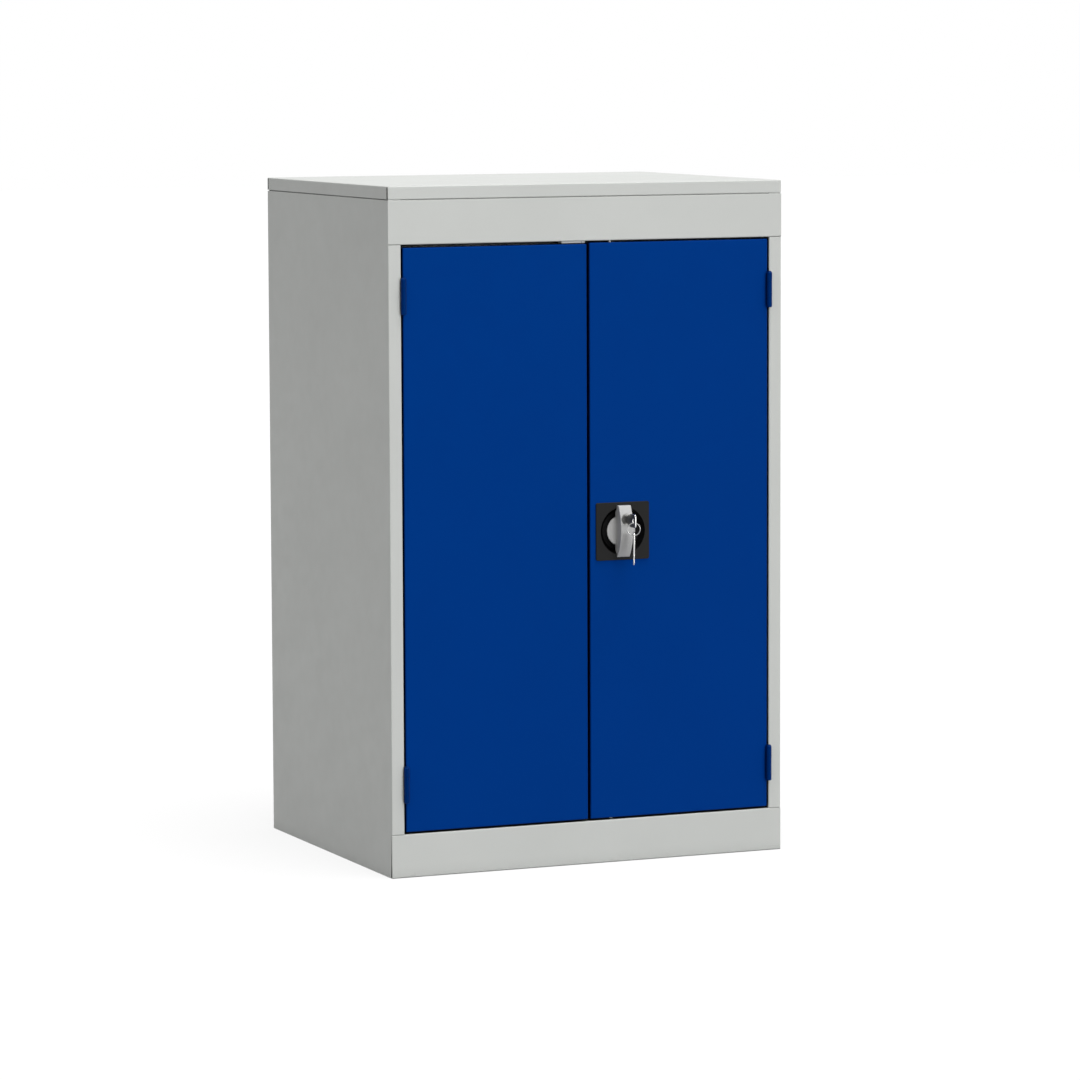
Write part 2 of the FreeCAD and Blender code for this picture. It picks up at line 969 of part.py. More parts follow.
def lock_bracket():
    """Steel bridge behind the lock that draws its plate onto the door skin."""
    half_w = bracket_width / 2
    half_h = bracket_height / 2
    skin = front + door_sheet
    line = [
        (skin, lock_height - half_h),
        (bracket_back, lock_height - half_h),
        (bracket_back, lock_height + half_h),
        (skin, lock_height + half_h),
    ]
    bridge = folded(line, bracket_sheet, side_point, lock_x - half_w, lock_x + half_w)
    holes = [
        rod_along_y(
            spindle_radius + bracket_bore_gap,
            lock_x,
            lock_height,
            tub_back - overrun,
            bracket_back + overrun,
        )
    ]
    for x, z in bracket_screw_places():
        radius = bracket_screw_radius + bracket_screw_hole_gap
        holes.append(rod_along_y(radius, x, z, tub_back - overrun, bracket_back + overrun))
    return bridge.cut(holes)


def lock_bracket_screws():
    screws = []
    for x, z in bracket_screw_places():
        shank = rod_along_y(
            bracket_screw_radius, x, z, tub_back - bracket_screw_depth, bracket_back
        )
        head = rod_along_y(
            bracket_screw_head_radius, x, z, bracket_back, bracket_back + bracket_screw_head
        )
        rim = [e for e in head.Edges if on_plane(e, 1, bracket_back + bracket_screw_head)]
        head = head.makeFillet(bracket_screw_head / 2, rim)
        screws.append(joined([shank, head]))
    return group(screws)


def square_drive(half, y0, y1):
    """Square on the spindle's axis, for its end and for the hole that it fits."""
    return box(
        lock_x - half, lock_x + half, y0, y1, lock_height - half, lock_height + half
    )


def handle_disc():
    """Round plate at the bottom of the dish, with the spindle and its square end behind it."""
    disc = rod_along_y(disc_radius, lock_x, lock_height, disc_front, disc_back)
    rim = [e for e in disc.Edges if on_plane(e, 1, disc_front)]
    disc = disc.makeFillet(disc_edge, rim)
    spindle = rod_along_y(spindle_radius, lock_x, lock_height, disc_back, cam_front)
    square = square_drive(drive_square / 2, cam_front, cam_back - drive_short)
    return [disc, spindle, square]


def grip_bar():
    """Bar that bows over the dish, thin at its ends and deep between them."""
    half = grip_length / 2
    under = plate_front - grip_clearance
    web = grip_web_length / 2
    shoulder = web + grip_web_shoulder
    top = vec(0, plate_front - grip_top_height, lock_height + half)
    peak = vec(0, grip_peak, lock_height + grip_peak_place)
    bottom = vec(0, plate_front - grip_bottom_height, lock_height - half)
    bow = Part.Arc(bottom, peak, top).toShape()
    chain = [
        (top.y, top.z),
        (under, lock_height + half),
        (under, lock_height + shoulder),
        (disc_front, lock_height + web),
        (disc_front, lock_height - web),
        (under, lock_height - shoulder),
        (under, lock_height - half),
        (bottom.y, bottom.z),
    ]
    edges = [bow]
    for (y0, z0), (y1, z1) in zip(chain, chain[1:]):
        edges.append(Part.LineSegment(vec(0, y0, z0), vec(0, y1, z1)).toShape())
    face = Part.Face(Part.Wire(edges))
    face.translate(vec(lock_x - grip_width / 2, 0, 0))
    bar = face.extrude(vec(grip_width, 0, 0))
    rim = [e for e in bar.Edges if isinstance(e.Curve, Part.Circle)]
    ends = [e for e in bar.Edges if end_edge(e, top) or end_edge(e, bottom)]
    return bar.makeChamfer(grip_edge, rim + ends)


def end_edge(edge, end):
    """Whether an edge runs across the grip's tip."""
    return on_plane(edge, 1, end.y) and on_plane(edge, 2, end.z)


def grip_coves():
    """Hollow curves where the bar's sides run out into the disc."""
    half = grip_width / 2
    block = box(
        lock_x - half - grip_cove,
        lock_x + half + grip_cove,
        disc_front - grip_cove,
        disc_front,
        lock_height - disc_radius,
        lock_height + disc_radius,
    )
    hollows = [
        rod_along_z(
            grip_cove,
            lock_x + side * (half + grip_cove),
            disc_front - grip_cove,
            lock_height - disc_radius - overrun,
            lock_height + disc_radius + overrun,
        )
        for side in (-1, 1)
    ]
    within = rod_along_y(
        disc_radius - disc_edge, lock_x, lock_height, disc_front - grip_cove - overrun, disc_front
    )
    return block.cut(hollows).common(within)


def turn_handle():
    """Cast handle: disc, spindle, bowed grip and the coves between them."""
    casting = joined(handle_disc() + [grip_bar(), grip_coves()])
    recess = rod_along_y(
        cylinder_radius, lock_x, cylinder_z, grip_peak - overrun, disc_front
    )
    thread = rod_along_y(
        cam_screw_radius, lock_x, lock_height, cam_front - cam_screw_length, cam_back + overrun
    )
    return casting.cut([recess, thread])


def lock_cylinder():
    """Barrel of the key lock, set into the grip."""
    barrel = rod_along_y(
        cylinder_radius - cylinder_fit, lock_x, cylinder_z, cylinder_front, disc_front
    )
    bore = rod_along_y(
        plug_radius + plug_fit,
        lock_x,
        cylinder_z,
        cylinder_front - overrun,
        plug_front + plug_length + plug_fit,
    )
    return barrel.cut(bore)


def cylinder_plug():
    """Turning core of the key lock with its keyway."""
    plug = rod_along_y(plug_radius, lock_x, cylinder_z, plug_front, plug_front + plug_length)
    half_w = key_thickness / 2 + keyway_gap
    half_h = key_blade_height / 2 + keyway_gap
    way = box(
        lock_x - half_w,
        lock_x + half_w,
        plug_front - overrun,
        key_tip_y() + keyway_gap,
        cylinder_z - half_h,
        cylinder_z + half_h,
    )
    return plug.cut(way)


def key_tip_y():
    """Where the tip of the inserted key lies."""
    return plug_front - key_shoulder_gap + key_blade_length


def flat_key():
    """A key lying in the plane of Y and Z, its tip at the origin and its bow along -Y."""
    half = key_blade_height / 2
    blade = key_blade_length
    neck = key_neck_half
    bow = key_bow_half
    bow_start = -(key_length - key_bow_length)
    bow_points = [(bow_start, bow), (-key_length, bow), (-key_length, -bow), (bow_start, -bow)]
    points = [(0, 0), (-half, half), (-blade, half), (-blade, neck)] + bow_points
    points += [(-blade, -neck), (-blade, -half)]
    tooth_shares = [(0.22, 0.6), (0.36, 1.0), (0.50, 0.4), (0.64, 0.9)]
    width = blade / (4 * len(tooth_shares))
    for place_share, depth_share in tooth_shares:
        middle = -blade * (1 - place_share)
        bottom = -half + key_tooth_depth * depth_share
        points += [(middle - width, -half), (middle, bottom), (middle + width, -half)]
    points += [(-half, -half)]
    radii = [key_bow_corner if point in bow_points else 0 for point in points]
    plate = drawn(points, radii, side_point, -key_thickness / 2, key_thickness / 2)
    hole_y = -(key_length - key_hole_edge)
    hole = Part.makeCylinder(
        key_hole_radius,
        key_thickness + 2 * overrun,
        vec(-key_thickness / 2 - overrun, hole_y, 0),
        vec(1, 0, 0),
    )
    return plate.cut(hole)


def key():
    """Key pushed home in the plug."""
    piece = flat_key()
    piece.translate(vec(lock_x, key_tip_y(), cylinder_z))
    return piece


def ring_y():
    """How far in front the ring hangs, through the hole of the inserted key."""
    return key_tip_y() - key_length + key_hole_edge


def ring_top_z():
    """Height of the wire's middle where the ring hangs in the key's hole."""
    return cylinder_z - key_hole_radius + ring_wire_radius + ring_gap


def ring_bottom_z():
    return ring_top_z() - 2 * ring_radius


def key_ring():
    """Ring through the inserted key's hole, turned a little to the cabinet's left."""
    turn = math.radians(ring_turn_deg)
    middle = vec(lock_x, ring_y(), ring_top_z() - ring_radius)
    facing = vec(math.sin(turn), math.cos(turn), 0)
    return Part.makeTorus(ring_radius, ring_wire_radius, middle, facing)


def spare_key():
    """Second key hanging from the bottom of the ring, tip down, square to the ring."""
    piece = flat_key()
    piece.rotate(vec(0, 0, 0), vec(1, 0, 0), -90)
    piece.rotate(vec(0, 0, 0), vec(0, 0, 1), -ring_turn_deg)
    hole_z = ring_bottom_z() + ring_wire_radius + ring_gap - key_hole_radius
    piece.translate(vec(lock_x, ring_y(), hole_z - key_length + key_hole_edge))
    return piece


def lock_cam():
    """Crank plate behind the door with a pin for each rod."""
    hub = rod_along_y(cam_hub_radius, lock_x, lock_height, cam_front, cam_back)
    arm = box(
        -crank_radius, crank_radius, cam_front, cam_back, -cam_width / 2, cam_width / 2
    )
    arm.rotate(vec(0, 0, 0), vec(0, 1, 0), -crank_start_deg)
    arm.translate(vec(lock_x, 0, lock_height))
    pieces = [hub, arm]
    for side in (-1, 1):
        x = lock_x + side * crank_side
        z = lock_height + side * crank_rise
        pieces.append(rod_along_y(cam_width / 2, x, z, cam_front, cam_back))
        pieces.append(
            rod_along_y(crank_pin_radius, x, z, cam_front, cam_back + crank_pin_length)
        )
    hole = square_drive(drive_square / 2 + drive_fit, cam_front - overrun, cam_back + overrun)
    return joined(pieces).cut(hole)


def cam_screw():
    shank = rod_along_y(
        cam_screw_radius, lock_x, lock_height, cam_front - cam_screw_length, cam_back
    )
    head = rod_along_y(
        cam_screw_head_radius, lock_x, lock_height, cam_back, cam_back + cam_screw_head
    )
    rim = [e for e in head.Edges if on_plane(e, 1, cam_back + cam_screw_head)]
    head = head.makeFillet(cam_screw_head / 3, rim)
    return joined([shank, head])


def rod_slot(side):
    """Slot that a crank pin slides in, on the lock's left or right, at rest."""
    near = crank_side - crank_pin_radius - rod_slot_gap
    far = crank_radius + crank_pin_radius + rod_slot_gap
    z = lock_height + side * crank_rise
    half = crank_pin_radius + rod_slot_rise
    return box(
        lock_x + side * near,
        lock_x + side * far,
        rod_plate_front - overrun,
        rod_plate_back + overrun,
        z - half,
        z + half,
    )


def rod_plate(side, z0, z1):
    near = crank_side - crank_pin_radius - rod_slot_gap - rod_plate_wall
    far = crank_radius + crank_pin_radius + rod_slot_gap + rod_plate_wall
    return box(
        lock_x + side * near, lock_x + side * far, rod_plate_front, rod_plate_back, z0, z1
    )


def slot_reach():
    """How far a rod's plate runs past the lock's middle to go round the slot."""
    return crank_rise + crank_pin_radius + rod_slot_rise + rod_plate_end_wall


def tipped_rod(z0, z1, tip):
    rod = rod_along_z(rod_radius, rod_x, rod_y, z0, z1)
    rim = [e for e in rod.Edges if on_plane(e, 2, tip)]
    return rod.makeChamfer(rod_tip_chamfer, rim)


def upper_rod():
    """Rod that the crank lifts into the header."""
    plate_top = lock_height + rod_plate_reach
    plate = rod_plate(-1, lock_height - slot_reach(), plate_top)
    tip = opening_top - rod_tip_gap
    rod = tipped_rod(plate_top - rod_plate_weld, tip, tip)
    return joined([plate, rod]).cut(rod_slot(-1))


def lower_rod():
    """Rod that the crank pushes down into the plinth, with an arm round the lock."""
    arm_top = lock_height - slot_reach() - rod_arm_drop
    arm_bottom = arm_top - rod_arm_height
    limb = rod_plate(1, arm_bottom, lock_height + slot_reach())
    far = crank_radius + crank_pin_radius + rod_slot_gap + rod_plate_wall
    arm = box(
        lock_x - far, lock_x + far, rod_plate_front, rod_plate_back, arm_bottom, arm_top
    )
    tip = opening_bottom + rod_tip_gap
    rod = tipped_rod(tip, arm_top, tip)
    return joined([limb, arm, rod]).cut(rod_slot(1))


def rod_keeper(z0):
    """Plate with the hole that a rod's end goes into."""
    plate = box(
        rod_x - keeper_length / 2,
        rod_x + keeper_length / 2,
        rod_y - keeper_width / 2,
        rod_y + keeper_width / 2,
        z0,
        z0 + keeper_thickness,
    )
    hole = rod_along_z(
        rod_radius + rod_hole_gap, rod_x, rod_y, z0 - overrun, z0 + keeper_thickness + overrun
    )
    return plate.cut(hole)


def rod_guide(face, inward):
    """Bush in the right door's folded edge, flush outside and flanged inside."""
    seat = face + inward * door_sheet
    end = face + inward * guide_length
    sleeve = rod_along_z(guide_radius, rod_x, rod_y, min(face, end), max(face, end))
    flange_end = seat + inward * guide_flange
    flange = rod_along_z(
        guide_flange_radius, rod_x, rod_y, min(seat, flange_end), max(seat, flange_end)
    )
    bore = rod_along_z(
        rod_radius + guide_fit, rod_x, rod_y, min(face, end) - overrun, max(face, end) + overrun
    )
    return joined([sleeve, flange]).cut(bore)


def hinges():
    """The four hinges, each as its frame leaf, door leaf and pin. The right pair sits lower."""
    pieces = {}
    bottoms = (("top", top_hinge_bottom), ("bottom", bottom_hinge_bottom))
    for side, drop, flip in (("left", 0, Part.Shape.copy), ("right", right_hinge_drop, mirrored)):
        for height, bottom in bottoms:
            low = bottom - drop
            pieces[f"{side}_{height}_hinge_frame_leaf"] = flip(hinge_frame_leaf(low))
            pieces[f"{side}_{height}_hinge_door_leaf"] = flip(hinge_door_leaf(low))
            pieces[f"{side}_{height}_hinge_pin"] = flip(hinge_pin(low))
    return pieces


def body_pieces():
    side = side_panel()
    front_upright = upright(front_upright_y)
    rear_upright = upright(rear_upright_y)
    return {
        "left_side_panel": side,
        "right_side_panel": mirrored(side),
        "back_panel": back_panel(),
        "base_pan": base_pan(),
        "floor_stiffener": floor_stiffener(),
        "header_rail": header_rail(),
        "roof_panel": roof_panel(),
        "top_cover": top_cover(),
        "left_front_upright": front_upright,
        "right_front_upright": mirrored(front_upright),
        "left_rear_upright": rear_upright,
        "right_rear_upright": mirrored(rear_upright),
        "upright_rivets": upright_rivets(),
        "lower_shelf_clips": shelf_clips(lower_shelf_slot),
        "upper_shelf_clips": shelf_clips(upper_shelf_slot),
        "door_bumpers": door_bumpers(),
        "catch_housing": catch_housing(),
        "catch_magnet": catch_magnet(),
        "top_rod_keeper": rod_keeper(opening_top + body_sheet),
        "bottom_rod_keeper": rod_keeper(opening_bottom - body_sheet - keeper_thickness),
    }


def shelf_pieces():
    return {
        "lower_shelf": shelf(lower_shelf_slot),
        "lower_shelf_stiffener": shelf_stiffener(lower_shelf_slot),
        "upper_shelf": shelf(upper_shelf_slot),
        "upper_shelf_stiffener": shelf_stiffener(upper_shelf_slot),
    }


def door_pieces():
    middle = (door_inner_edge + door_outer_edge) / 2
    right_middle = (lock_x + bracket_width / 2 + door_outer_edge) / 2
    return {
        "left_door_panel": left_door_panel(),
        "left_door_stiffener": door_stiffener(-middle, left_door_top),
        "right_door_panel": right_door_panel(),
        "right_door_stiffener": door_stiffener(right_middle, right_door_top),
        "top_rod_guide": rod_guide(right_door_top, -1),
        "bottom_rod_guide": rod_guide(door_bottom, 1),
    }


def lock_pieces():
    return {
        "lock_escutcheon": lock_escutcheon(),
        "lock_bracket": lock_bracket(),
        "lock_bracket_screws": lock_bracket_screws(),
        "turn_handle": turn_handle(),
        "lock_cylinder": lock_cylinder(),
        "cylinder_plug": cylinder_plug(),
        "lock_cam": lock_cam(),
        "cam_screw": cam_screw(),
        "upper_rod": upper_rod(),
        "lower_rod": lower_rod(),
        "key": key(),
        "key_ring": key_ring(),
        "spare_key": spare_key(),
    }


os.makedirs("parts", exist_ok=True)
for pieces in (body_pieces(), shelf_pieces(), door_pieces(), lock_pieces(), hinges()):
    for name, shape in pieces.items():
        shape.exportStep(f"parts/{name}.step")
        print(name, len(shape.Solids), round(shape.Volume), shape.isValid())
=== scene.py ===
"""Looks of the steel tool cabinet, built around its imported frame.

The frame holds every rigid piece at its real size. This file gives each piece its finish,
rebuilds the small turned, milled and moulded pieces with fuller shapes, and sets up the
floor, the light and the camera. Lengths are in metres. The origin is on the floor under
the middle of the cabinet, with X to the right, Y to the back and Z up.
"""

import logging
import math
from dataclasses import dataclass, field, replace
from enum import Enum
from typing import Iterable, Sequence

import bmesh
import bpy
from mathutils import Matrix, Vector


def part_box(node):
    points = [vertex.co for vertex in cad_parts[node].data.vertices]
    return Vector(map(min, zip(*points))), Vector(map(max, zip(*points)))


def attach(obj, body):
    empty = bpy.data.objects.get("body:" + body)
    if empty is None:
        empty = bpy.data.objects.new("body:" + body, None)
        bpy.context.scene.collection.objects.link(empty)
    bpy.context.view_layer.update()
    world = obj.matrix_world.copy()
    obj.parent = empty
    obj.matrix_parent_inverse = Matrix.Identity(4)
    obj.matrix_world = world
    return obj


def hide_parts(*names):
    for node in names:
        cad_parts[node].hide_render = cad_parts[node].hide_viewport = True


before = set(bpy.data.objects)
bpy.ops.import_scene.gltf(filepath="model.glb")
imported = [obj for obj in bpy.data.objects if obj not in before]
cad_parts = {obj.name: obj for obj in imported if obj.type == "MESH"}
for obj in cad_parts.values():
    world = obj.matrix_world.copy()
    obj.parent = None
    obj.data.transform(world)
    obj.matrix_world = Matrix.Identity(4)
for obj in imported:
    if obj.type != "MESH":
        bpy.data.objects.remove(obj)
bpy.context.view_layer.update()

log = logging.getLogger("cabinet")

Colour = tuple[float, float, float]
Point = tuple[float, float]
Socket = bpy.types.NodeSocket

MM = 0.001
SAME_POINT = 0.01 * MM
NOISE_BAND = (0.3, 0.7)


class Coat(Enum):
    """The finishes: each one's name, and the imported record's material slot that it belongs to."""

    BODY_PAINT = ("body_paint", "body_paint")
    DOOR_PAINT = ("door_paint", "door_paint")
    # Hinge paint is the door paint darkened, as painted shade on the hinge barrels.
    HINGE_PAINT_SHADED = ("hinge_paint_shaded", "door_paint")
    ZINC_STEEL = ("zinc_steel", "zinc_steel")
    CAST_HANDLE = ("cast_handle", "cast_handle")
    LOCK_METAL = ("lock_metal", "lock_metal")
    # Plug metal is the lock metal darkened, as painted shade on the plug's face.
    PLUG_METAL_SHADED = ("plug_metal_shaded", "lock_metal")
    # Key edge and key face are one nickel, lighter and darker: painted highlight on the edges, painted
    # shade on the faces.
    KEY_EDGE_HIGHLIGHT = ("key_edge_highlight", "lock_metal")
    KEY_FACE_SHADE = ("key_face_shade", "lock_metal")
    RING_WIRE = ("ring_wire", "lock_metal")
    LOCK_PLATE = ("lock_plate", "lock_plate")
    GUIDE_PLASTIC = ("guide_plastic", "guide_plastic")
    CATCH_PLASTIC = ("catch_plastic", "catch_plastic")
    MAGNET = ("magnet", "magnet")
    RUBBER = ("rubber", "rubber")

    @property
    def label(self) -> str:
        """The finish's own name."""
        return self.value[0]

    @property
    def slot(self) -> str:
        """The record's material slot."""
        return self.value[1]


class Axis(Enum):
    """Directions that a turned piece can point in, away from what it sits on."""

    RIGHT = Vector((1, 0, 0))
    LEFT = Vector((-1, 0, 0))
    FRONT = Vector((0, -1, 0))
    BACK = Vector((0, 1, 0))


class ShaderGraph:
    """The nodes of one material, wired in short steps."""

    edge_samples = 6
    gap_samples = 5
    flat_agreement = 0.998
    sharp_agreement = 0.93

    def __init__(self, name: str) -> None:
        """Start a material whose patterns are laid out in the cabinet's own metres.

        Args:
            name: The material's name.
        """
        self.material = bpy.data.materials.new(name)
        self.material.use_nodes = True
        self.tree = self.material.node_tree
        self.surface = self.tree.nodes["Principled BSDF"]
        self.place = self.add("ShaderNodeTexCoord").outputs["Object"]

    def add(self, kind: str, **settings: object) -> bpy.types.Node:
        """Add one node.

        Args:
            kind: Blender's name of the node's type.
            settings: Properties to set on it.

        Returns:
            The new node.
        """
        node = self.tree.nodes.new(kind)
        for key, value in settings.items():
            setattr(node, key, value)
        return node

    def feed(self, target: Socket, value: object) -> None:
        """Link an output to a socket, or set the socket to a plain value.

        Args:
            target: The socket to feed.
            value: An output socket, a number or a colour.
        """
        if isinstance(value, bpy.types.NodeSocket):
            self.tree.links.new(value, target)
        else:
            target.default_value = (*value, 1.0) if isinstance(value, tuple) else value

    def noise(self, pitch: float, detail: float = 2.0) -> Socket:
        """A cloudy pattern, nearly all of it inside NOISE_BAND.

        Args:
            pitch: About how far apart its lumps are.
            detail: How many finer layers it has.

        Returns:
            The pattern, from 0 to 1.
        """
        node = self.add("ShaderNodeTexNoise")
        self.feed(node.inputs["Vector"], self.place)
        self.feed(node.inputs["Scale"], 1 / pitch)
        self.feed(node.inputs["Detail"], detail)
        return node.outputs["Fac"]

    def spread(
        self, value: Socket, low: float, high: float, start: float = 0.0, end: float = 1.0
    ) -> Socket:
        """Map a pattern in a straight line, and hold it at both ends.

        Args:
            value: The pattern.
            low: What it becomes at start.
            high: What it becomes at end.
            start: The pattern's value that gives low.
            end: The pattern's value that gives high.

        Returns:
            The mapped pattern.
        """
        node = self.add("ShaderNodeMapRange", clamp=True)
        for index, number in enumerate((value, start, end, low, high)):
            self.feed(node.inputs[index], number)
        return node.outputs["Result"]

    def mix(self, share: Socket, first: object, second: object) -> Socket:
        """Blend two colours.

        Args:
            share: How much of the second colour shows.
            first: Colour or output where share is 0.
            second: Colour or output where share is 1.

        Returns:
            The blended colour.
        """
        node = self.add("ShaderNodeMix", data_type="RGBA")
        self.feed(node.inputs["Factor"], share)
        colours = [s for s in node.inputs if s.type == "RGBA"]
        for socket, colour in zip(colours, (first, second)):
            self.feed(socket, colour)
        return next(s for s in node.outputs if s.type == "RGBA")

    def maths(self, operation: str, first: object, second: object = 0.0) -> Socket:
        """One sum on two numbers or outputs, held between 0 and 1.

        Args:
            operation: Blender's name of the sum.
            first: Its first number or output.
            second: Its second number or output.

        Returns:
            The result.
        """
        node = self.add("ShaderNodeMath", operation=operation, use_clamp=True)
        self.feed(node.inputs[0], first)
        self.feed(node.inputs[1], second)
        return node.outputs["Value"]

    def rounded(self, radius: float) -> Socket:
        """The surface's direction with its sharp edges softened.

        Args:
            radius: Radius of the softened edges.

        Returns:
            The direction.
        """
        node = self.add("ShaderNodeBevel", samples=self.edge_samples)
        self.feed(node.inputs["Radius"], radius)
        return node.outputs["Normal"]

    def edges(self, rounded: Socket) -> Socket:
        """Find the edges, where a coat is thin and a painted highlight goes.

        Args:
            rounded: The direction that rounded() gives.

        Returns:
            A mask, 0 on flat faces and 1 along edges.
        """
        flat = self.add("ShaderNodeNewGeometry").outputs["Normal"]
        dot = self.add("ShaderNodeVectorMath", operation="DOT_PRODUCT")
        self.feed(dot.inputs[0], rounded)
        self.feed(dot.inputs[1], flat)
        return self.spread(dot.outputs["Value"], 1.0, 0.0, self.sharp_agreement, self.flat_agreement)

    def shaded_crevices(self, reach: float, deepest: float, shallowest: float) -> Socket:
        """Find the narrow gaps, where shade is painted in.

        Args:
            reach: How far away a surface still counts.
            deepest: Share of open view where the mask is full.
            shallowest: Share of open view where it ends.

        Returns:
            A mask, 1 inside narrow gaps and 0 on open faces.
        """
        node = self.add("ShaderNodeAmbientOcclusion", samples=self.gap_samples)
        self.feed(node.inputs["Distance"], reach)
        return self.spread(node.outputs["AO"], 1.0, 0.0, start=deepest, end=shallowest)

    def bump(self, height: Socket, depth: float, normal: Socket | None = None) -> Socket:
        """Raise a pattern off the surface.

        Args:
            height: The pattern, from 0 to 1.
            depth: How deep it is.
            normal: The direction that it starts from.

        Returns:
            The new direction.
        """
        node = self.add("ShaderNodeBump")
        self.feed(node.inputs["Height"], height)
        self.feed(node.inputs["Distance"], depth)
        if normal is not None:
            self.feed(node.inputs["Normal"], normal)
        return node.outputs["Normal"]

    def finish(self, **sockets: object) -> bpy.types.Material:
        """Feed the surface and close the material.

        Args:
            sockets: Values of the surface, with spaces in their names as underscores.

        Returns:
            The material.
        """
        for key, value in sockets.items():
            self.feed(self.surface.inputs[key.replace("_", " ")], value)
        return self.material


def shaded(colour: Colour, share: float) -> Colour:
    """A colour made lighter or darker.

    Args:
        colour: The colour.
        share: What each part is multiplied by.

    Returns:
        The new colour.
    """
    return tuple(min(part * share, 1.0) for part in colour)


@dataclass(frozen=True)
class PowderCoat:
    """Baked powder paint on sheet steel, with its fine orange peel, edges lightened by a thin coat and
    a painted highlight, and painted shade in narrow gaps.
    """

    coat: Coat
    colour: Colour
    edge_colour: Colour
    reflection: Colour = (1.0, 1.0, 1.0)
    specular: float = 0.5
    roughness: float = 0.42
    roughness_swing: float = 0.06
    peel_pitch: float = 1.7 * MM
    peel_depth: float = 0.018 * MM
    wave_pitch: float = 90 * MM
    wave_depth: float = 0.12 * MM
    cloud_pitch: float = 140 * MM
    patch_pitch: float = 20 * MM
    mottling: float = 0.015
    speck_pitch: float = 0.8 * MM
    speck_band: Point = (0.62, 0.74)
    speck_strength: float = 0.25
    edge_radius: float = 0.9 * MM
    edge_wear_and_highlight: float = 0.75
    gap_reach: float = 40 * MM
    gap_deepest: float = 0.2
    gap_shallowest: float = 0.34
    gap_shade_colour: Colour = (0.0005, 0.0005, 0.0005)
    gap_roughness: float = 0.9

    def material(self) -> bpy.types.Material:
        """Make the paint's material."""
        graph = ShaderGraph(self.coat.label)
        cloud = graph.noise(self.cloud_pitch, detail=3.0)
        dark, light = shaded(self.colour, 1 - self.mottling), shaded(self.colour, 1 + self.mottling)
        tone = graph.mix(graph.spread(cloud, 0.0, 1.0, *NOISE_BAND), dark, light)
        specks = graph.spread(graph.noise(self.speck_pitch), 0.0, 1.0, *self.speck_band)
        tone = graph.mix(graph.maths("MULTIPLY", specks, self.speck_strength), tone, self.edge_colour)
        rounded = graph.rounded(self.edge_radius)
        edge = graph.edges(rounded)
        # Lighter edges: partly a thin coat, partly a painted highlight along the folds.
        tone = graph.mix(graph.maths("MULTIPLY", edge, self.edge_wear_and_highlight), tone, self.edge_colour)
        # Painted shade: narrow gaps are darkened nearly to black and made rough, so they show next to
        # no light or reflection.
        gaps = graph.shaded_crevices(self.gap_reach, self.gap_deepest, self.gap_shallowest)
        tone = graph.mix(gaps, tone, self.gap_shade_colour)
        peel = graph.noise(self.peel_pitch, detail=1.0)
        wave = graph.noise(self.wave_pitch, detail=1.0)
        normal = graph.bump(wave, self.wave_depth, rounded)
        normal = graph.bump(peel, self.peel_depth, normal)
        low, high = self.roughness - self.roughness_swing, self.roughness + self.roughness_swing
        rough = graph.spread(graph.noise(self.patch_pitch, detail=4.0), low, high, *NOISE_BAND)
        rough = graph.mix(gaps, rough, (self.gap_roughness,) * 3)
        return graph.finish(
            Base_Color=tone, Roughness=rough, Specular_IOR_Level=self.specular,
            Specular_Tint=self.reflection, Normal=normal,
        )


@dataclass(frozen=True)
class MouldedPlastic:
    """Injection moulded part with a fine spark-eroded grain."""

    coat: Coat
    colour: Colour
    specular: float = 0.3
    roughness: float = 0.5
    roughness_swing: float = 0.08
    contrast: float = 0.14
    grain_pitch: float = 0.35 * MM
    grain_depth: float = 0.012 * MM
    edge_radius: float = 0.35 * MM
    edge_wear_and_highlight: float = 0.5
    edge_brightness: float = 1.8
    polished_centre: Point | None = None
    polished_radius: float = 0.0
    polished_blur: float = 0.3 * MM
    polished_spill: float = 0.1 * MM
    polished_shade_colour: Colour = (0.004, 0.004, 0.004)
    polished_roughness: float = 0.25

    def material(self) -> bpy.types.Material:
        """Make the plastic's material, with a smoother round area if it has one, darkened as painted
        shade.
        """
        graph = ShaderGraph(self.coat.label)
        grain = graph.noise(self.grain_pitch, detail=3.0)
        dark, light = shaded(self.colour, 1 - self.contrast), shaded(self.colour, 1 + self.contrast)
        tone = graph.mix(grain, dark, light)
        rounded = graph.rounded(self.edge_radius)
        edge = graph.edges(rounded)
        # Lighter edges: partly wear, partly a painted highlight.
        worn_and_highlit = shaded(self.colour, self.edge_brightness)
        tone = graph.mix(graph.maths("MULTIPLY", edge, self.edge_wear_and_highlight), tone, worn_and_highlit)
        low, high = self.roughness - self.roughness_swing, self.roughness + self.roughness_swing
        rough = graph.spread(grain, low, high, *NOISE_BAND)
        normal = graph.bump(grain, self.grain_depth, rounded)
        if self.polished_centre is not None:
            area = self.polished_area(graph)
            # The round area is smoother, and its darker colour is painted shade in the sunk dish.
            tone = graph.mix(area, tone, self.polished_shade_colour)
            rough = graph.mix(area, rough, (self.polished_roughness,) * 3)
        return graph.finish(
            Base_Color=tone, Roughness=rough, Specular_IOR_Level=self.specular, Normal=normal
        )

    def polished_area(self, graph: ShaderGraph) -> Socket:
        """A mask of the round polished area, seen from the front, where shade is also painted.

        Args:
            graph: The material's nodes.

        Returns:
            The mask, 1 inside the area.
        """
        split = graph.add("ShaderNodeSeparateXYZ")
        graph.feed(split.inputs[0], graph.place)
        offset = graph.add("ShaderNodeCombineXYZ")
        for index, middle in zip((0, 2), self.polished_centre):
            shift = graph.add("ShaderNodeMath", operation="SUBTRACT")
            graph.feed(shift.inputs[0], split.outputs[index])
            graph.feed(shift.inputs[1], middle)
            graph.feed(offset.inputs[index], shift.outputs[0])
        length = graph.add("ShaderNodeVectorMath", operation="LENGTH")
        graph.feed(length.inputs[0], offset.outputs[0])
        end = self.polished_radius + self.polished_spill
        return graph.spread(length.outputs["Value"], 1.0, 0.0, end - self.polished_blur, end)


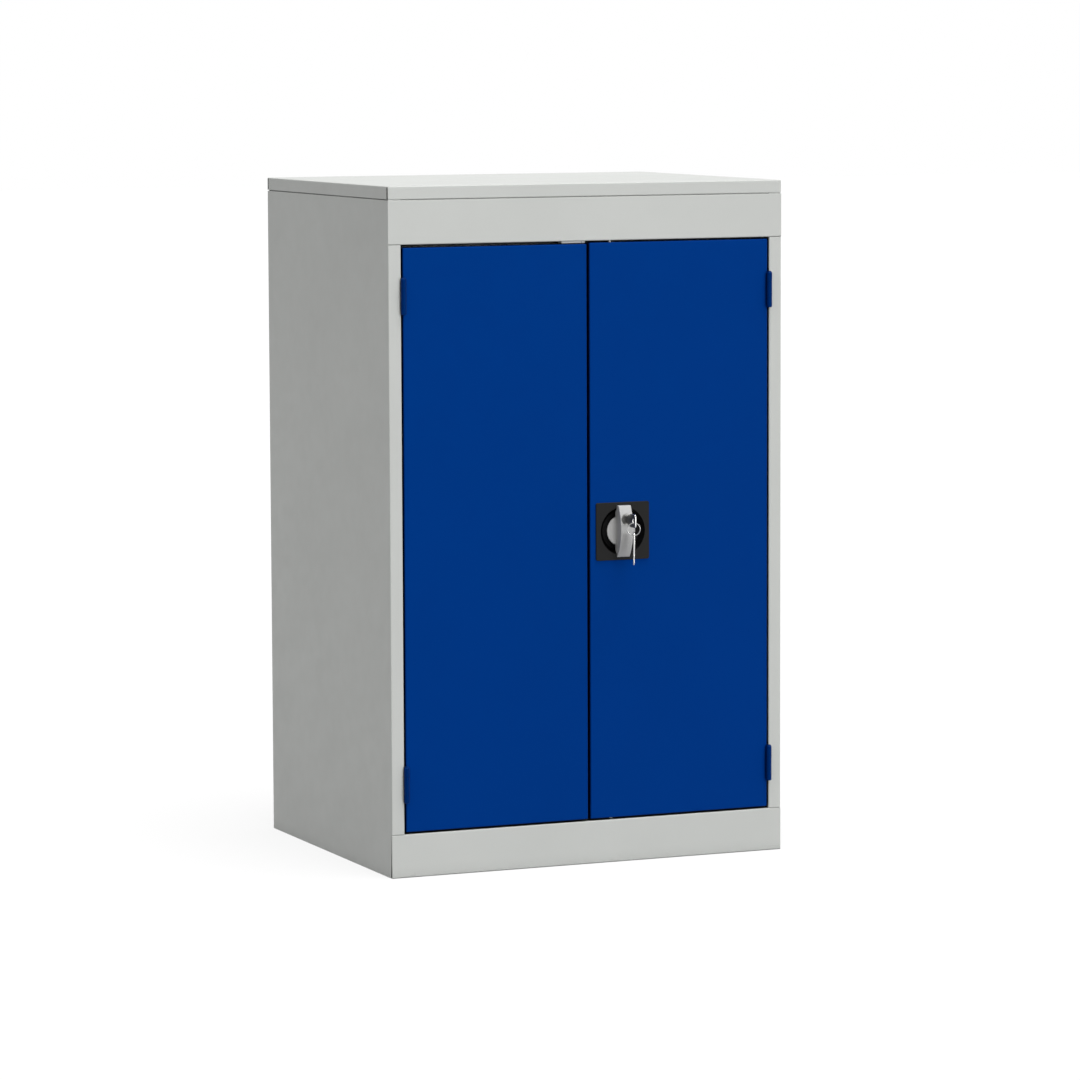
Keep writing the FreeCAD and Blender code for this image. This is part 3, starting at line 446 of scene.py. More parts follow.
@dataclass(frozen=True)
class BareMetal:
    """Cast, plated or ground metal, from a lacquered casting to bright nickel."""

    coat: Coat
    colour: Colour
    metallic: float = 1.0
    specular: float = 0.5
    roughness: float = 0.3
    roughness_swing: float = 0.07
    grain_pitch: float = 0.25 * MM
    grain_depth: float = 0.006 * MM
    cloud_pitch: float = 10 * MM
    contrast: float = 0.05
    edge_radius: float = 0.3 * MM
    edge_wear_and_highlight: float = 0.8
    edge_brightness: float = 1.2

    def material(self) -> bpy.types.Material:
        """Make the metal's material."""
        graph = ShaderGraph(self.coat.label)
        grain = graph.noise(self.grain_pitch, detail=3.0)
        cloud = graph.noise(self.cloud_pitch, detail=3.0)
        dark, light = shaded(self.colour, 1 - self.contrast), shaded(self.colour, 1 + self.contrast)
        tone = graph.mix(graph.spread(grain, 0.0, 1.0, *NOISE_BAND), dark, light)
        rounded = graph.rounded(self.edge_radius)
        edge = graph.edges(rounded)
        # Lighter edges: mostly a painted highlight, partly wear.
        worn_and_highlit = shaded(self.colour, self.edge_brightness)
        tone = graph.mix(graph.maths("MULTIPLY", edge, self.edge_wear_and_highlight), tone, worn_and_highlit)
        low, high = self.roughness - self.roughness_swing, self.roughness + self.roughness_swing
        rough = graph.spread(cloud, low, high, *NOISE_BAND)
        normal = graph.bump(grain, self.grain_depth, rounded)
        return graph.finish(
            Base_Color=tone, Metallic=self.metallic, Specular_IOR_Level=self.specular,
            Roughness=rough, Normal=normal,
        )


Finish = PowderCoat | MouldedPlastic | BareMetal


class Palette:
    """The cabinet's finishes, each made into a material once."""

    def __init__(self, finishes: Iterable[Finish]) -> None:
        """Make every material.

        Args:
            finishes: The finishes.
        """
        self.materials = {finish.coat: finish.material() for finish in finishes}

    def apply(self, obj: bpy.types.Object, coat: Coat) -> None:
        """Give a piece its finish.

        Args:
            obj: The piece.
            coat: Which finish it takes.
        """
        if not obj.material_slots:
            obj.data.materials.append(self.materials[coat])
        for holder in obj.material_slots:
            holder.material = self.materials[coat]


def linked(name: str, mesh: bpy.types.Mesh) -> bpy.types.Object:
    """Put a mesh into the scene.

    Args:
        name: The object's name.
        mesh: Its mesh, in the cabinet's own metres.

    Returns:
        The object.
    """
    obj = bpy.data.objects.new(name, mesh)
    bpy.context.scene.collection.objects.link(obj)
    return obj


def meshed(name: str, shape: bmesh.types.BMesh) -> bpy.types.Mesh:
    """Turn an edited shape into a mesh, and free it.

    Args:
        name: The mesh's name.
        shape: The edited shape.

    Returns:
        The mesh.
    """
    mesh = bpy.data.meshes.new(name)
    shape.to_mesh(mesh)
    shape.free()
    return mesh


def final_mesh(obj: bpy.types.Object) -> bpy.types.Mesh:
    """The mesh that an object's modifiers, or its curve, come to.

    Args:
        obj: The object.

    Returns:
        A new mesh.
    """
    graph = bpy.context.evaluated_depsgraph_get()
    return bpy.data.meshes.new_from_object(obj.evaluated_get(graph))


def smoothed(mesh: bpy.types.Mesh, angle: float = math.radians(32)) -> bpy.types.Mesh:
    """Shade a mesh smoothly, apart from its sharp edges.

    Args:
        mesh: The mesh.
        angle: Edges that turn by more stay sharp.

    Returns:
        The same mesh.
    """
    mesh.shade_smooth()
    mesh.set_sharp_from_angle(angle=angle)
    return mesh


def carve(obj: bpy.types.Object, shape: bmesh.types.BMesh, crossing: bool) -> None:
    """Cut a shape out of a piece.

    Args:
        obj: The piece.
        shape: What is cut out, freed here.
        crossing: Whether parts of it run through each other.
    """
    cutter = linked("cutter", meshed("cutter", shape))
    cut = obj.modifiers.new("cut", "BOOLEAN")
    cut.operation = "DIFFERENCE"
    cut.object = cutter
    cut.use_self = crossing
    mesh = final_mesh(obj)
    obj.modifiers.clear()
    obj.data = smoothed(mesh)
    bpy.data.objects.remove(cutter)


def arc(centre: Point, radius: float, start: float, end: float, steps: int) -> list[Point]:
    """Points on part of a circle.

    Args:
        centre: The circle's middle.
        radius: Its radius.
        start: First angle, in degrees.
        end: Last angle, in degrees.
        steps: How many pieces it has.

    Returns:
        The points, both ends among them.
    """
    points = []
    for index in range(steps + 1):
        angle = math.radians(start + (end - start) * index / steps)
        points.append((centre[0] + radius * math.cos(angle), centre[1] + radius * math.sin(angle)))
    return points


def turned(profile: Sequence[Point], places: Iterable[Matrix], steps: int = 32) -> bpy.types.Mesh:
    """Turn a profile about its axis, once at each place.

    Args:
        profile: Points of radius and height, from the middle of the foot to the middle of the top.
        places: Where each copy stands, its local Z along the axis.
        steps: Sides of the circle.

    Returns:
        One mesh that holds all the copies.
    """
    shape = bmesh.new()
    for place in places:
        rings = []
        for radius, height in profile:
            if radius <= 0:
                rings.append([shape.verts.new(place @ Vector((0, 0, height)))])
                continue
            ring = []
            for index in range(steps):
                angle = 2 * math.pi * index / steps
                local = Vector((radius * math.cos(angle), radius * math.sin(angle), height))
                ring.append(shape.verts.new(place @ local))
            rings.append(ring)
        for low, high in zip(rings, rings[1:]):
            join_rings(shape, low, high)
    bmesh.ops.recalc_face_normals(shape, faces=shape.faces)
    return smoothed(meshed("turned", shape))


def join_rings(shape: bmesh.types.BMesh, low: Sequence, high: Sequence) -> None:
    """Close the band between two rings, either of which may be a single point.

    Args:
        shape: The mesh that they belong to.
        low: Vertices of the first ring.
        high: Vertices of the second ring.
    """
    count = max(len(low), len(high))
    for index in range(count):
        after = (index + 1) % count
        corners = [low[index % len(low)], low[after % len(low)]]
        corners += [high[after % len(high)], high[index % len(high)]]
        unique = list(dict.fromkeys(corners))
        if len(unique) > 2:
            shape.faces.new(unique)


def standing(foot: Vector, axis: Axis) -> Matrix:
    """Place of a turned piece.

    Args:
        foot: Where the middle of its foot is.
        axis: Which way it points.

    Returns:
        The matrix that takes local Z to the axis.
    """
    return Matrix.Translation(foot) @ axis.value.to_track_quat("Z", "Y").to_matrix().to_4x4()


def islands(obj: bpy.types.Object) -> list[tuple[Vector, Vector]]:
    """Boxes of the separate solids in one node.

    Args:
        obj: The node's object.

    Returns:
        Lowest and highest corner of each solid, in a steady order.
    """
    shape = bmesh.new()
    shape.from_mesh(obj.data)
    bmesh.ops.remove_doubles(shape, verts=shape.verts, dist=SAME_POINT)
    left = set(shape.verts)
    boxes = []
    while left:
        reached = [left.pop()]
        found = list(reached)
        while reached:
            for edge in reached.pop().link_edges:
                for vertex in edge.verts:
                    if vertex in left:
                        left.remove(vertex)
                        reached.append(vertex)
                        found.append(vertex)
        low = Vector([min(v.co[i] for v in found) for i in range(3)])
        high = Vector([max(v.co[i] for v in found) for i in range(3)])
        boxes.append((low, high))
    shape.free()
    return sorted(boxes, key=lambda pair: tuple(round(part, 5) for part in pair[0]))


@dataclass
class SubAssembly:
    """A part of the cabinet that is built and dressed together."""

    palette: Palette
    weld_reach: float = 0.002 * MM
    sharp_angle: float = math.radians(35)

    def dress(self, coat: Coat, *names: str) -> None:
        """Give nodes of the frame their finish.

        Args:
            coat: The finish.
            names: The nodes.
        """
        for name in names:
            self.palette.apply(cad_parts[name], coat)
            log.info("dressed %s with %s", name, coat.label)

    def soften(self, width: float, *names: str, segments: int = 2) -> None:
        """Round the sharp edges of nodes of the frame.

        Args:
            width: How far each edge is cut back.
            names: The nodes.
            segments: Faces across each rounded edge.
        """
        for name in names:
            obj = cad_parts[name]
            weld = obj.modifiers.new("weld", "WELD")
            weld.merge_threshold = self.weld_reach
            bevel = obj.modifiers.new("soft_edges", "BEVEL")
            bevel.width = width
            bevel.segments = segments
            bevel.limit_method = "ANGLE"
            bevel.angle_limit = self.sharp_angle
            bevel.miter_outer = "MITER_ARC"
            normals = obj.modifiers.new("normals", "WEIGHTED_NORMAL")
            normals.keep_sharp = False
            log.info("softened the edges of %s", name)

    def add(
        self, name: str, mesh: bpy.types.Mesh, body: str, coat: Coat, *stands_for: str
    ) -> bpy.types.Object:
        """Add a piece, or one that takes the place of nodes.

        Args:
            name: The piece's name.
            mesh: Its mesh.
            body: The body that it rides on.
            coat: Its finish.
            stands_for: The nodes that it replaces.

        Returns:
            The piece.
        """
        obj = linked(name, mesh)
        self.palette.apply(obj, coat)
        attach(obj, body)
        if stands_for:
            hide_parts(*stands_for)
        log.info("built %s for %s", name, ", ".join(stands_for) or body)
        return obj


@dataclass
class CabinetShell(SubAssembly):
    """The grey carcass with its lid, uprights and rivets."""

    dome_steps: int = 7
    rivet_sides: int = 24
    sheets: tuple[str, ...] = (
        "left_side_panel", "right_side_panel", "back_panel", "base_pan", "floor_stiffener",
        "header_rail", "roof_panel", "top_cover", "left_front_upright", "right_front_upright",
        "left_rear_upright", "right_rear_upright",
    )

    def build(self) -> None:
        """Dress the sheets and build the domed rivets."""
        self.dress(Coat.BODY_PAINT, *self.sheets)
        self.rivets()

    def rivets(self) -> None:
        """Domed rivet heads on the uprights' flanges."""
        places = []
        for low, high in islands(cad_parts["upright_rivets"]):
            middle = (low + high) / 2
            inward = Axis.RIGHT if middle.x < 0 else Axis.LEFT
            foot = Vector((low.x if middle.x < 0 else high.x, middle.y, middle.z))
            places.append(standing(foot, inward))
            radius, height = (high.z - low.z) / 2, high.x - low.x
        ball = (radius**2 + height**2) / (2 * height)
        reach = math.degrees(math.asin(radius / ball))
        dome = arc((0, height - ball), ball, 90 - reach, 90, self.dome_steps)
        profile = [(0, 0), *dome[:-1], (0, height)]
        mesh = turned(profile, places, self.rivet_sides)
        self.add("domed_rivets", mesh, "cabinet_body", Coat.ZINC_STEEL, "upright_rivets")


@dataclass
class DoorPair(SubAssembly):
    """Both blue doors, and the rubber buttons that they close on."""

    panels: tuple[str, ...] = (
        "left_door_panel", "left_door_stiffener", "right_door_panel", "right_door_stiffener",
    )
    button_edge: float = 0.7 * MM
    edge_steps: int = 5
    dimple_share: float = 0.5
    dimple_depth: float = 0.35 * MM

    def build(self) -> None:
        """Dress the doors and build the buttons."""
        self.dress(Coat.DOOR_PAINT, *self.panels)
        self.buttons()

    def buttons(self) -> None:
        """Soft buttons with a rounded rim and a dimple in the middle."""
        places = []
        for low, high in islands(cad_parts["door_bumpers"]):
            middle = (low + high) / 2
            places.append(standing(Vector((middle.x, high.y, middle.z)), Axis.FRONT))
            radius, height = (high.z - low.z) / 2, high.y - low.y
        edge = self.button_edge
        rim = arc((radius - edge, height - edge), edge, 0, 90, self.edge_steps)
        dimple, depth = radius * self.dimple_share, self.dimple_depth
        profile = [(0, 0), (radius, 0), *rim, (dimple, height)]
        profile += [(dimple / 2, height - depth / 2), (0, height - depth)]
        mesh = turned(profile, places)
        self.add("rubber_buttons", mesh, "cabinet_body", Coat.RUBBER, "door_bumpers")


@dataclass
class HingeSet(SubAssembly):
    """The four hinges, their leaves and pins in the door's blue darkened as painted shade."""

    sides: tuple[str, ...] = ("left", "right")
    heights: tuple[str, ...] = ("top", "bottom")
    pieces: tuple[str, ...] = ("frame_leaf", "door_leaf", "pin")

    def build(self) -> None:
        """Dress the leaves and pins."""
        for side in self.sides:
            for height in self.heights:
                for piece in self.pieces:
                    self.dress(Coat.HINGE_PAINT_SHADED, f"{side}_{height}_hinge_{piece}")


@dataclass
class ShelfStack(SubAssembly):
    """Both shelves with their stiffeners and clips."""

    levels: tuple[str, ...] = ("lower", "upper")

    def build(self) -> None:
        """Dress the shelves and clips."""
        for level in self.levels:
            self.dress(Coat.BODY_PAINT, f"{level}_shelf", f"{level}_shelf_stiffener")
            self.dress(Coat.ZINC_STEEL, f"{level}_shelf_clips")


@dataclass
class MagneticCatch(SubAssembly):
    """The grey catch over the left door."""

    edge: float = 0.25 * MM

    def build(self) -> None:
        """Dress the housing and its magnet."""
        self.dress(Coat.CATCH_PLASTIC, "catch_housing")
        self.dress(Coat.MAGNET, "catch_magnet")
        self.soften(self.edge, "catch_housing")


@dataclass
class RodLock(SubAssembly):
    """The sunk lock plate, its handle and key cylinder, and the rods behind the door."""

    cast_edge: float = 0.35 * MM
    turned_edge: float = 0.35 * MM
    cam_screw_head: float = 2.4 * MM
    shank_share: float = 0.5
    crown_share: float = 0.6
    crown_reach: float = 80.0
    crown_steps: int = 6
    recess_share: float = 0.62
    recess_width_share: float = 0.2
    recess_depth_share: float = 0.6

    def build(self) -> None:
        """Dress the lock and build its screws."""
        self.dress(Coat.LOCK_PLATE, "lock_escutcheon")
        self.dress(Coat.CAST_HANDLE, "turn_handle")
        self.dress(Coat.LOCK_METAL, "lock_cylinder")
        self.dress(Coat.PLUG_METAL_SHADED, "cylinder_plug")
        self.dress(Coat.ZINC_STEEL, "lock_bracket", "lock_cam", "upper_rod", "lower_rod")
        self.dress(Coat.ZINC_STEEL, "top_rod_keeper", "bottom_rod_keeper")
        self.dress(Coat.GUIDE_PLASTIC, "top_rod_guide", "bottom_rod_guide")
        self.soften(self.cast_edge, "turn_handle", segments=3)
        self.soften(self.turned_edge, "lock_cylinder", "cylinder_plug")
        bracket_screw_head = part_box("lock_bracket_screws")[1].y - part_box("lock_bracket")[1].y
        self.screws("bracket_screws", "lock_bracket_screws", "right_door", bracket_screw_head)
        self.screws("cam_bolt", "cam_screw", "handle", self.cam_screw_head)

    def screws(self, name: str, node: str, body: str, head: float) -> None:
        """Pan head screws with a cross recess.

        Args:
            name: The piece's name.
            node: The node that it replaces.
            body: The body that it rides on.
            head: Height of a head.
        """
        places = []
        for low, high in islands(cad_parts[node]):
            middle = (low + high) / 2
            places.append(standing(Vector((middle.x, low.y, middle.z)), Axis.BACK))
            radius, length = (high.z - low.z) / 2, high.y - low.y
        shank, round_off = radius * self.shank_share, head * self.crown_share
        middle = (radius - round_off, length - round_off)
        crown = arc(middle, round_off, 0, self.crown_reach, self.crown_steps)
        profile = [(0, 0), (shank, 0), (shank, length - head), (radius, length - head)]
        profile += [*crown, (0, length)]
        obj = self.add(name, turned(profile, places), body, Coat.ZINC_STEEL, node)
        self.cut_crosses(obj, places, radius, head, length)

    def cut_crosses(
        self, obj: bpy.types.Object, places: Sequence[Matrix], radius: float, head: float, length: float
    ) -> None:
        """Cut a cross recess into each screw head.

        Args:
            obj: The screws.
            places: Where each screw stands.
            radius: Radius of a head.
            head: Height of a head.
            length: Length of a screw.
        """
        shape = bmesh.new()
        reach = radius * self.recess_share
        width = radius * self.recess_width_share
        depth = head * self.recess_depth_share
        for place in places:
            for long_x, long_y in ((reach, width), (width, reach)):
                size = Matrix.Diagonal((2 * long_x, 2 * long_y, 2 * depth, 1))
                bmesh.ops.create_cube(shape, matrix=place @ Matrix.Translation((0, 0, length)) @ size)
        carve(obj, shape, crossing=True)


@dataclass
class KeyBunch(SubAssembly):
    """The key in the lock, the split ring and the spare key."""

    thickness: float = 2 * MM
    blade_length: float = 16 * MM
    neck_half: float = 4.6 * MM
    blade_half: float = 4.1 * MM
    bow_half: float = 9.8 * MM
    bow_length: float = 17 * MM
    bow_corner: float = 4.5 * MM
    bow_corner_steps: int = 10
    shoulder_steps: int = 4
    hole_steps: int = 40
    hole_radius: float = 3.6 * MM
    hole_edge: float = 6.8 * MM
    turn: float = math.radians(21)
    flatness: float = 0.95
    tooth_depth: float = 2.2 * MM
    tooth_half_share: float = 0.25
    tooth_shares: tuple[Point, ...] = ((0.22, 0.6), (0.36, 1.0), (0.50, 0.4), (0.64, 0.9))
    rim: float = 0.25 * MM
    key_weld_reach: float = 0.005 * MM
    groove_half: float = 0.55 * MM
    groove_depth: float = 0.5 * MM
    groove_length_share: float = 0.9
    groove_inset_share: float = 0.14
    groove_rise_share: float = 0.3
    ring_turns: int = 2
    ring_steps: int = 72
    wire_steps: int = 6
    wire_angle: float = math.radians(50)
    ring_start: float = math.radians(60)
    strip_half: float = 0.58 * MM
    strip_gap: float = 0.02 * MM
    wire_radius: float = 0.65 * MM
    climb_start_share: float = 0.42
    climb_share: float = 0.16

    def build(self) -> None:
        """Build both keys and the ring."""
        self.key("bright_key", "key", "inserted_key", hanging=False)
        self.key("bright_spare_key", "spare_key", "hanging_key", hanging=True)
        self.ring()

    def key(self, name: str, node: str, body: str, hanging: bool) -> None:
        """One flat key with a drilled bow, cut teeth and a milled groove.

        Args:
            name: The piece's name.
            node: The node that it replaces.
            body: The body that it rides on.
            hanging: Whether it hangs tip down, or else lies with its tip to the back.
        """
        low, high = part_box(node)
        middle = (low + high) / 2
        length = high.z - low.z if hanging else high.y - low.y
        curve = bpy.data.curves.new(name, "CURVE")
        curve.dimensions = "2D"
        curve.fill_mode = "BOTH"
        curve.extrude = self.thickness / 2 - self.rim
        curve.bevel_depth = self.rim
        curve.bevel_resolution = 2
        curve.offset = -self.rim
        self.closed(curve, self.outline(length))
        hole = arc((-(length - self.hole_edge), 0), self.hole_radius, 360, 0, self.hole_steps)
        self.closed(curve, hole[:-1])
        obj = linked(name, curve)
        mesh = final_mesh(obj)
        bpy.data.objects.remove(obj)
        if hanging:
            upright = Matrix(((0, 0, 1, 0), (0, 1, 0, 0), (-1, 0, 0, low.z), (0, 0, 0, 1)))
            place = Matrix.Translation((middle.x, middle.y, 0))
            stance = place @ Matrix.Rotation(-self.turn, 4, "Z") @ upright
        else:
            stance = Matrix(((0, 0, 1, middle.x), (1, 0, 0, high.y), (0, 1, 0, middle.z), (0, 0, 0, 1)))
        # The flat faces take the darker copy of the metal and the edges the lighter one: painted shade
        # on the faces, painted highlight on the edges.
        for face in mesh.polygons:
            face.material_index = int(abs(face.normal.z) > self.flatness)
        mesh.transform(stance)
        piece = self.add(name, mesh, body, Coat.KEY_EDGE_HIGHLIGHT, node)
        mesh.materials.append(self.palette.materials[Coat.KEY_FACE_SHADE])
        self.mill(piece, stance)

    def outline(self, length: float) -> list[Point]:
        """Outline of a key, its tip at the origin and its squared bow along -X.

        Args:
            length: The key's length.

        Returns:
            The points, going round once.
        """
        half, blade, neck = self.blade_half, self.blade_length, self.neck_half
        bow, corner = self.bow_half, self.bow_corner
        shoulder = length - self.bow_length
        lean = math.atan2(bow - neck, shoulder - blade)
        start = (-shoulder - corner * math.tan(lean / 2), bow - corner)
        far = (corner - length, bow - corner)
        upper = arc(start, corner, 90 - math.degrees(lean), 90, self.shoulder_steps)
        upper += arc(far, corner, 90, 180, self.bow_corner_steps)
        lower = [(x, -y) for x, y in reversed(upper)]
        points = [(0, 0), (-half, half), (-blade, half), (-blade, neck), *upper, *lower]
        points += [(-blade, -neck), (-blade, -half)]
        width = blade * self.tooth_half_share / len(self.tooth_shares)
        for place_share, depth_share in self.tooth_shares:
            middle = -blade * (1 - place_share)
            bottom = -half + self.tooth_depth * depth_share
            points += [(middle - width, -half), (middle, bottom), (middle + width, -half)]
        return points + [(-half, -half)]

    @staticmethod
    def closed(curve: bpy.types.Curve, points: Sequence[Point]) -> None:
        """Add a closed outline to a curve.

        Args:
            curve: The curve.
            points: The outline's corners.
        """
        spline = curve.splines.new("POLY")
        spline.points.add(len(points) - 1)
        for point, (x, y) in zip(spline.points, points):
            point.co = (x, y, 0, 1)
        spline.use_cyclic_u = True

    def mill(self, piece: bpy.types.Object, stance: Matrix) -> None:
        """Mill a groove into both faces of the blade.

        Args:
            piece: The key.
            stance: Where the key is, from its own outline.
        """
        shape = bmesh.new()
        span = self.blade_length * self.groove_length_share
        along = -span / 2 - self.blade_length * self.groove_inset_share
        across = self.blade_half * self.groove_rise_share
        for side in (-1, 1):
            middle = Vector((along, across, side * self.thickness / 2))
            size = Matrix.Diagonal((span, 2 * self.groove_half, 2 * self.groove_depth, 1))
            bmesh.ops.create_cube(shape, matrix=stance @ Matrix.Translation(middle) @ size)
        weld = piece.modifiers.new("weld", "WELD")
        weld.merge_threshold = self.key_weld_reach
        carve(piece, shape, crossing=False)

    def ring(self) -> None:
        """Split ring of flat wire, wound twice."""
        low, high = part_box("key_ring")
        middle = (low + high) / 2
        across = Vector((math.cos(self.turn), -math.sin(self.turn), 0))
        facing = Vector((math.sin(self.turn), math.cos(self.turn), 0))
        radius = (high.z - low.z) / 2 - self.strip_half
        strip = self.wire_radius / 2 - self.strip_gap
        shape = bmesh.new()
        rings = []
        total = self.ring_turns * self.ring_steps
        side = self.strip_half - strip
        corners = arc((side, 0), strip, -90, 90, self.wire_steps)
        corners += arc((-side, 0), strip, 90, 270, self.wire_steps)
        for index in range(total + 1):
            share = index / total
            angle = 2 * math.pi * self.ring_turns * share + self.ring_start
            climb = min(max((share - self.climb_start_share) / self.climb_share, 0), 1)
            offset = (2 * climb * climb * (3 - 2 * climb) - 1) * (self.wire_radius - strip)
            out = across * math.cos(angle) + Vector((0, 0, math.sin(angle)))
            ring = []
            for outward, along in corners:
                point = middle + out * (radius + outward) + facing * (offset + along)
                ring.append(shape.verts.new(point))
            rings.append(ring)
        for first, second in zip(rings, rings[1:]):
            join_rings(shape, first, second)
        shape.faces.new(rings[0])
        shape.faces.new(rings[-1])
        bmesh.ops.recalc_face_normals(shape, faces=shape.faces)
        mesh = smoothed(meshed("split_ring", shape), self.wire_angle)
        self.add("split_ring", mesh, "ring", Coat.RING_WIRE, "key_ring")


@dataclass(frozen=True)
class Viewpoint:
    """Where the camera stands and how it is turned."""

    place: tuple[float, float, float] = (-2.8397, -6.6874, 1.2154)
    yaw: float = -0.4053
    pitch: float = -0.1042
    roll: float = 0.0038
    lens: float = 161.28
    sensor: float = 36.0
    sight: float = 200.0

    def set_up(self) -> None:
        """Create the camera and make it the scene's own."""
        data = bpy.data.cameras.new("viewpoint")
        data.lens = self.lens
        data.sensor_width = self.sensor
        data.clip_end = self.sight
        camera = bpy.data.objects.new("viewpoint", data)
        bpy.context.scene.collection.objects.link(camera)
        turn = Matrix.Rotation(self.yaw, 4, "Z") @ Matrix.Rotation(self.pitch, 4, "X")
        turn = turn @ Matrix.Rotation(self.roll, 4, "Y") @ Matrix.Rotation(math.pi / 2, 4, "X")
        camera.matrix_world = Matrix.Translation(self.place) @ turn
        bpy.context.scene.camera = camera
        log.info("set up the camera")


@dataclass
class Studio:
    """Plain pale floor, soft light from above and from the front, and a white backdrop."""

    ambient: float = 0.64
    high_strength: float = 2.2
    towards_high: tuple[float, float, float] = (0.08, -0.2, 0.98)
    low_strength: float = 1.4
    towards_low: tuple[float, float, float] = (0.14, -1.0, 0.1)
    sun_angle: float = math.radians(30)
    bright_side: tuple[float, float, float] = (0.9, 0.1, 0.42)
    darkest: float = 0.12
    brightest: float = 1.05
    floor_half: float = 30.0
    floor_colour: float = 0.2
    seen_floor_colour: float = 0.85
    shadow_share: float = 0.18
    viewpoint: Viewpoint = field(default_factory=Viewpoint)

    def build(self) -> None:
        """Set up the floor, the lights, the backdrop and the camera."""
        self.viewpoint.set_up()
        self.sun("high_sun", self.high_strength, self.towards_high)
        self.sun("low_sun", self.low_strength, self.towards_low)
        self.backdrop()
        self.floor()
        bpy.context.scene.view_settings.view_transform = "Standard"

    def sun(self, name: str, strength: float, towards: Sequence[float]) -> None:
        """One wide soft sun.

        Args:
            name: The lamp's name.
            strength: Its strength.
            towards: The direction that points to it.
        """
        data = bpy.data.lights.new(name, "SUN")
        data.energy = strength
        data.angle = self.sun_angle
        lamp = bpy.data.objects.new(name, data)
        bpy.context.scene.collection.objects.link(lamp)
        lamp.rotation_euler = Vector(towards).to_track_quat("Z", "Y").to_euler()
        log.info("set up %s", name)

    def backdrop(self) -> None:
        """A white backdrop that lights the room evenly and shades off in reflections."""
        world = bpy.data.worlds.new("backdrop")
        world.use_nodes = True
        tree = world.node_tree
        direction = tree.nodes.new("ShaderNodeTexCoord")
        dot = tree.nodes.new("ShaderNodeVectorMath")
        dot.operation = "DOT_PRODUCT"
        dot.inputs[1].default_value = Vector(self.bright_side).normalized()
        tree.links.new(direction.outputs["Generated"], dot.inputs[0])
        ramp = tree.nodes.new("ShaderNodeMapRange")
        for index, number in ((1, -1.0), (2, 1.0), (3, self.darkest), (4, self.brightest)):
            ramp.inputs[index].default_value = number
        tree.links.new(dot.outputs["Value"], ramp.inputs[0])
        mirrored = self.rays(tree, "Glossy", "Transmission")
        strength = self.choice(tree, mirrored, self.ambient, ramp.outputs[0])
        strength = self.choice(tree, self.rays(tree, "Camera"), strength, 1.0)
        tree.links.new(strength, tree.nodes["Background"].inputs["Strength"])
        tree.nodes["Background"].inputs["Color"].default_value = (1, 1, 1, 1)
        bpy.context.scene.world = world
        log.info("set up the backdrop")

    @staticmethod
    def rays(tree: bpy.types.NodeTree, *kinds: str) -> Socket:
        """Tell whether a ray is of some kinds.

        Args:
            tree: The nodes to add to.
            kinds: The kinds of ray.

        Returns:
            1 for a ray of one of these kinds, or else 0.
        """
        light_path = tree.nodes.new("ShaderNodeLightPath")
        first, *others = [light_path.outputs[f"Is {kind} Ray"] for kind in kinds]
        for other in others:
            either = tree.nodes.new("ShaderNodeMath")
            either.operation = "ADD"
            either.use_clamp = True
            tree.links.new(first, either.inputs[0])
            tree.links.new(other, either.inputs[1])
            first = either.outputs[0]
        return first

    @staticmethod
    def matt(tree: bpy.types.NodeTree, brightness: float) -> Socket:
        """A plain matt grey surface.

        Args:
            tree: The nodes to add to.
            brightness: How pale it is, from 0 to 1.

        Returns:
            The surface.
        """
        node = tree.nodes.new("ShaderNodeBsdfDiffuse")
        node.inputs["Color"].default_value = (brightness, brightness, brightness, 1)
        return node.outputs[0]

    @staticmethod
    def choice(tree: bpy.types.NodeTree, share: Socket, first: object, second: object) -> Socket:
        """Blend two numbers.

        Args:
            tree: The nodes to add to.
            share: How much of the second shows.
            first: Number or output where share is 0.
            second: Number or output where share is 1.

        Returns:
            The blended number.
        """
        node = tree.nodes.new("ShaderNodeMix")
        tree.links.new(share, node.inputs[0])
        for index, value in ((2, first), (3, second)):
            if isinstance(value, bpy.types.NodeSocket):
                tree.links.new(value, node.inputs[index])
            else:
                node.inputs[index].default_value = value
        return node.outputs[0]

    def floor(self) -> None:
        """A pale floor that melts into the backdrop and keeps a faint shadow."""
        half = self.floor_half
        mesh = bpy.data.meshes.new("floor")
        corners = [(-half, -half, 0), (half, -half, 0), (half, half, 0), (-half, half, 0)]
        mesh.from_pydata(corners, [], [(0, 1, 2, 3)])
        obj = linked("floor", mesh)
        material = bpy.data.materials.new("floor")
        material.use_nodes = True
        tree = material.node_tree
        tree.nodes.clear()
        glow = tree.nodes.new("ShaderNodeEmission")
        seen = tree.nodes.new("ShaderNodeMixShader")
        seen.inputs[0].default_value = self.shadow_share
        tree.links.new(glow.outputs[0], seen.inputs[1])
        tree.links.new(self.matt(tree, self.seen_floor_colour), seen.inputs[2])
        pick = tree.nodes.new("ShaderNodeMixShader")
        tree.links.new(self.rays(tree, "Camera", "Glossy", "Transmission"), pick.inputs[0])
        tree.links.new(self.matt(tree, self.floor_colour), pick.inputs[1])
        tree.links.new(seen.outputs[0], pick.inputs[2])
        output = tree.nodes.new("ShaderNodeOutputMaterial")
        tree.links.new(pick.outputs[0], output.inputs["Surface"])
        mesh.materials.append(material)
        log.info("set up the floor")


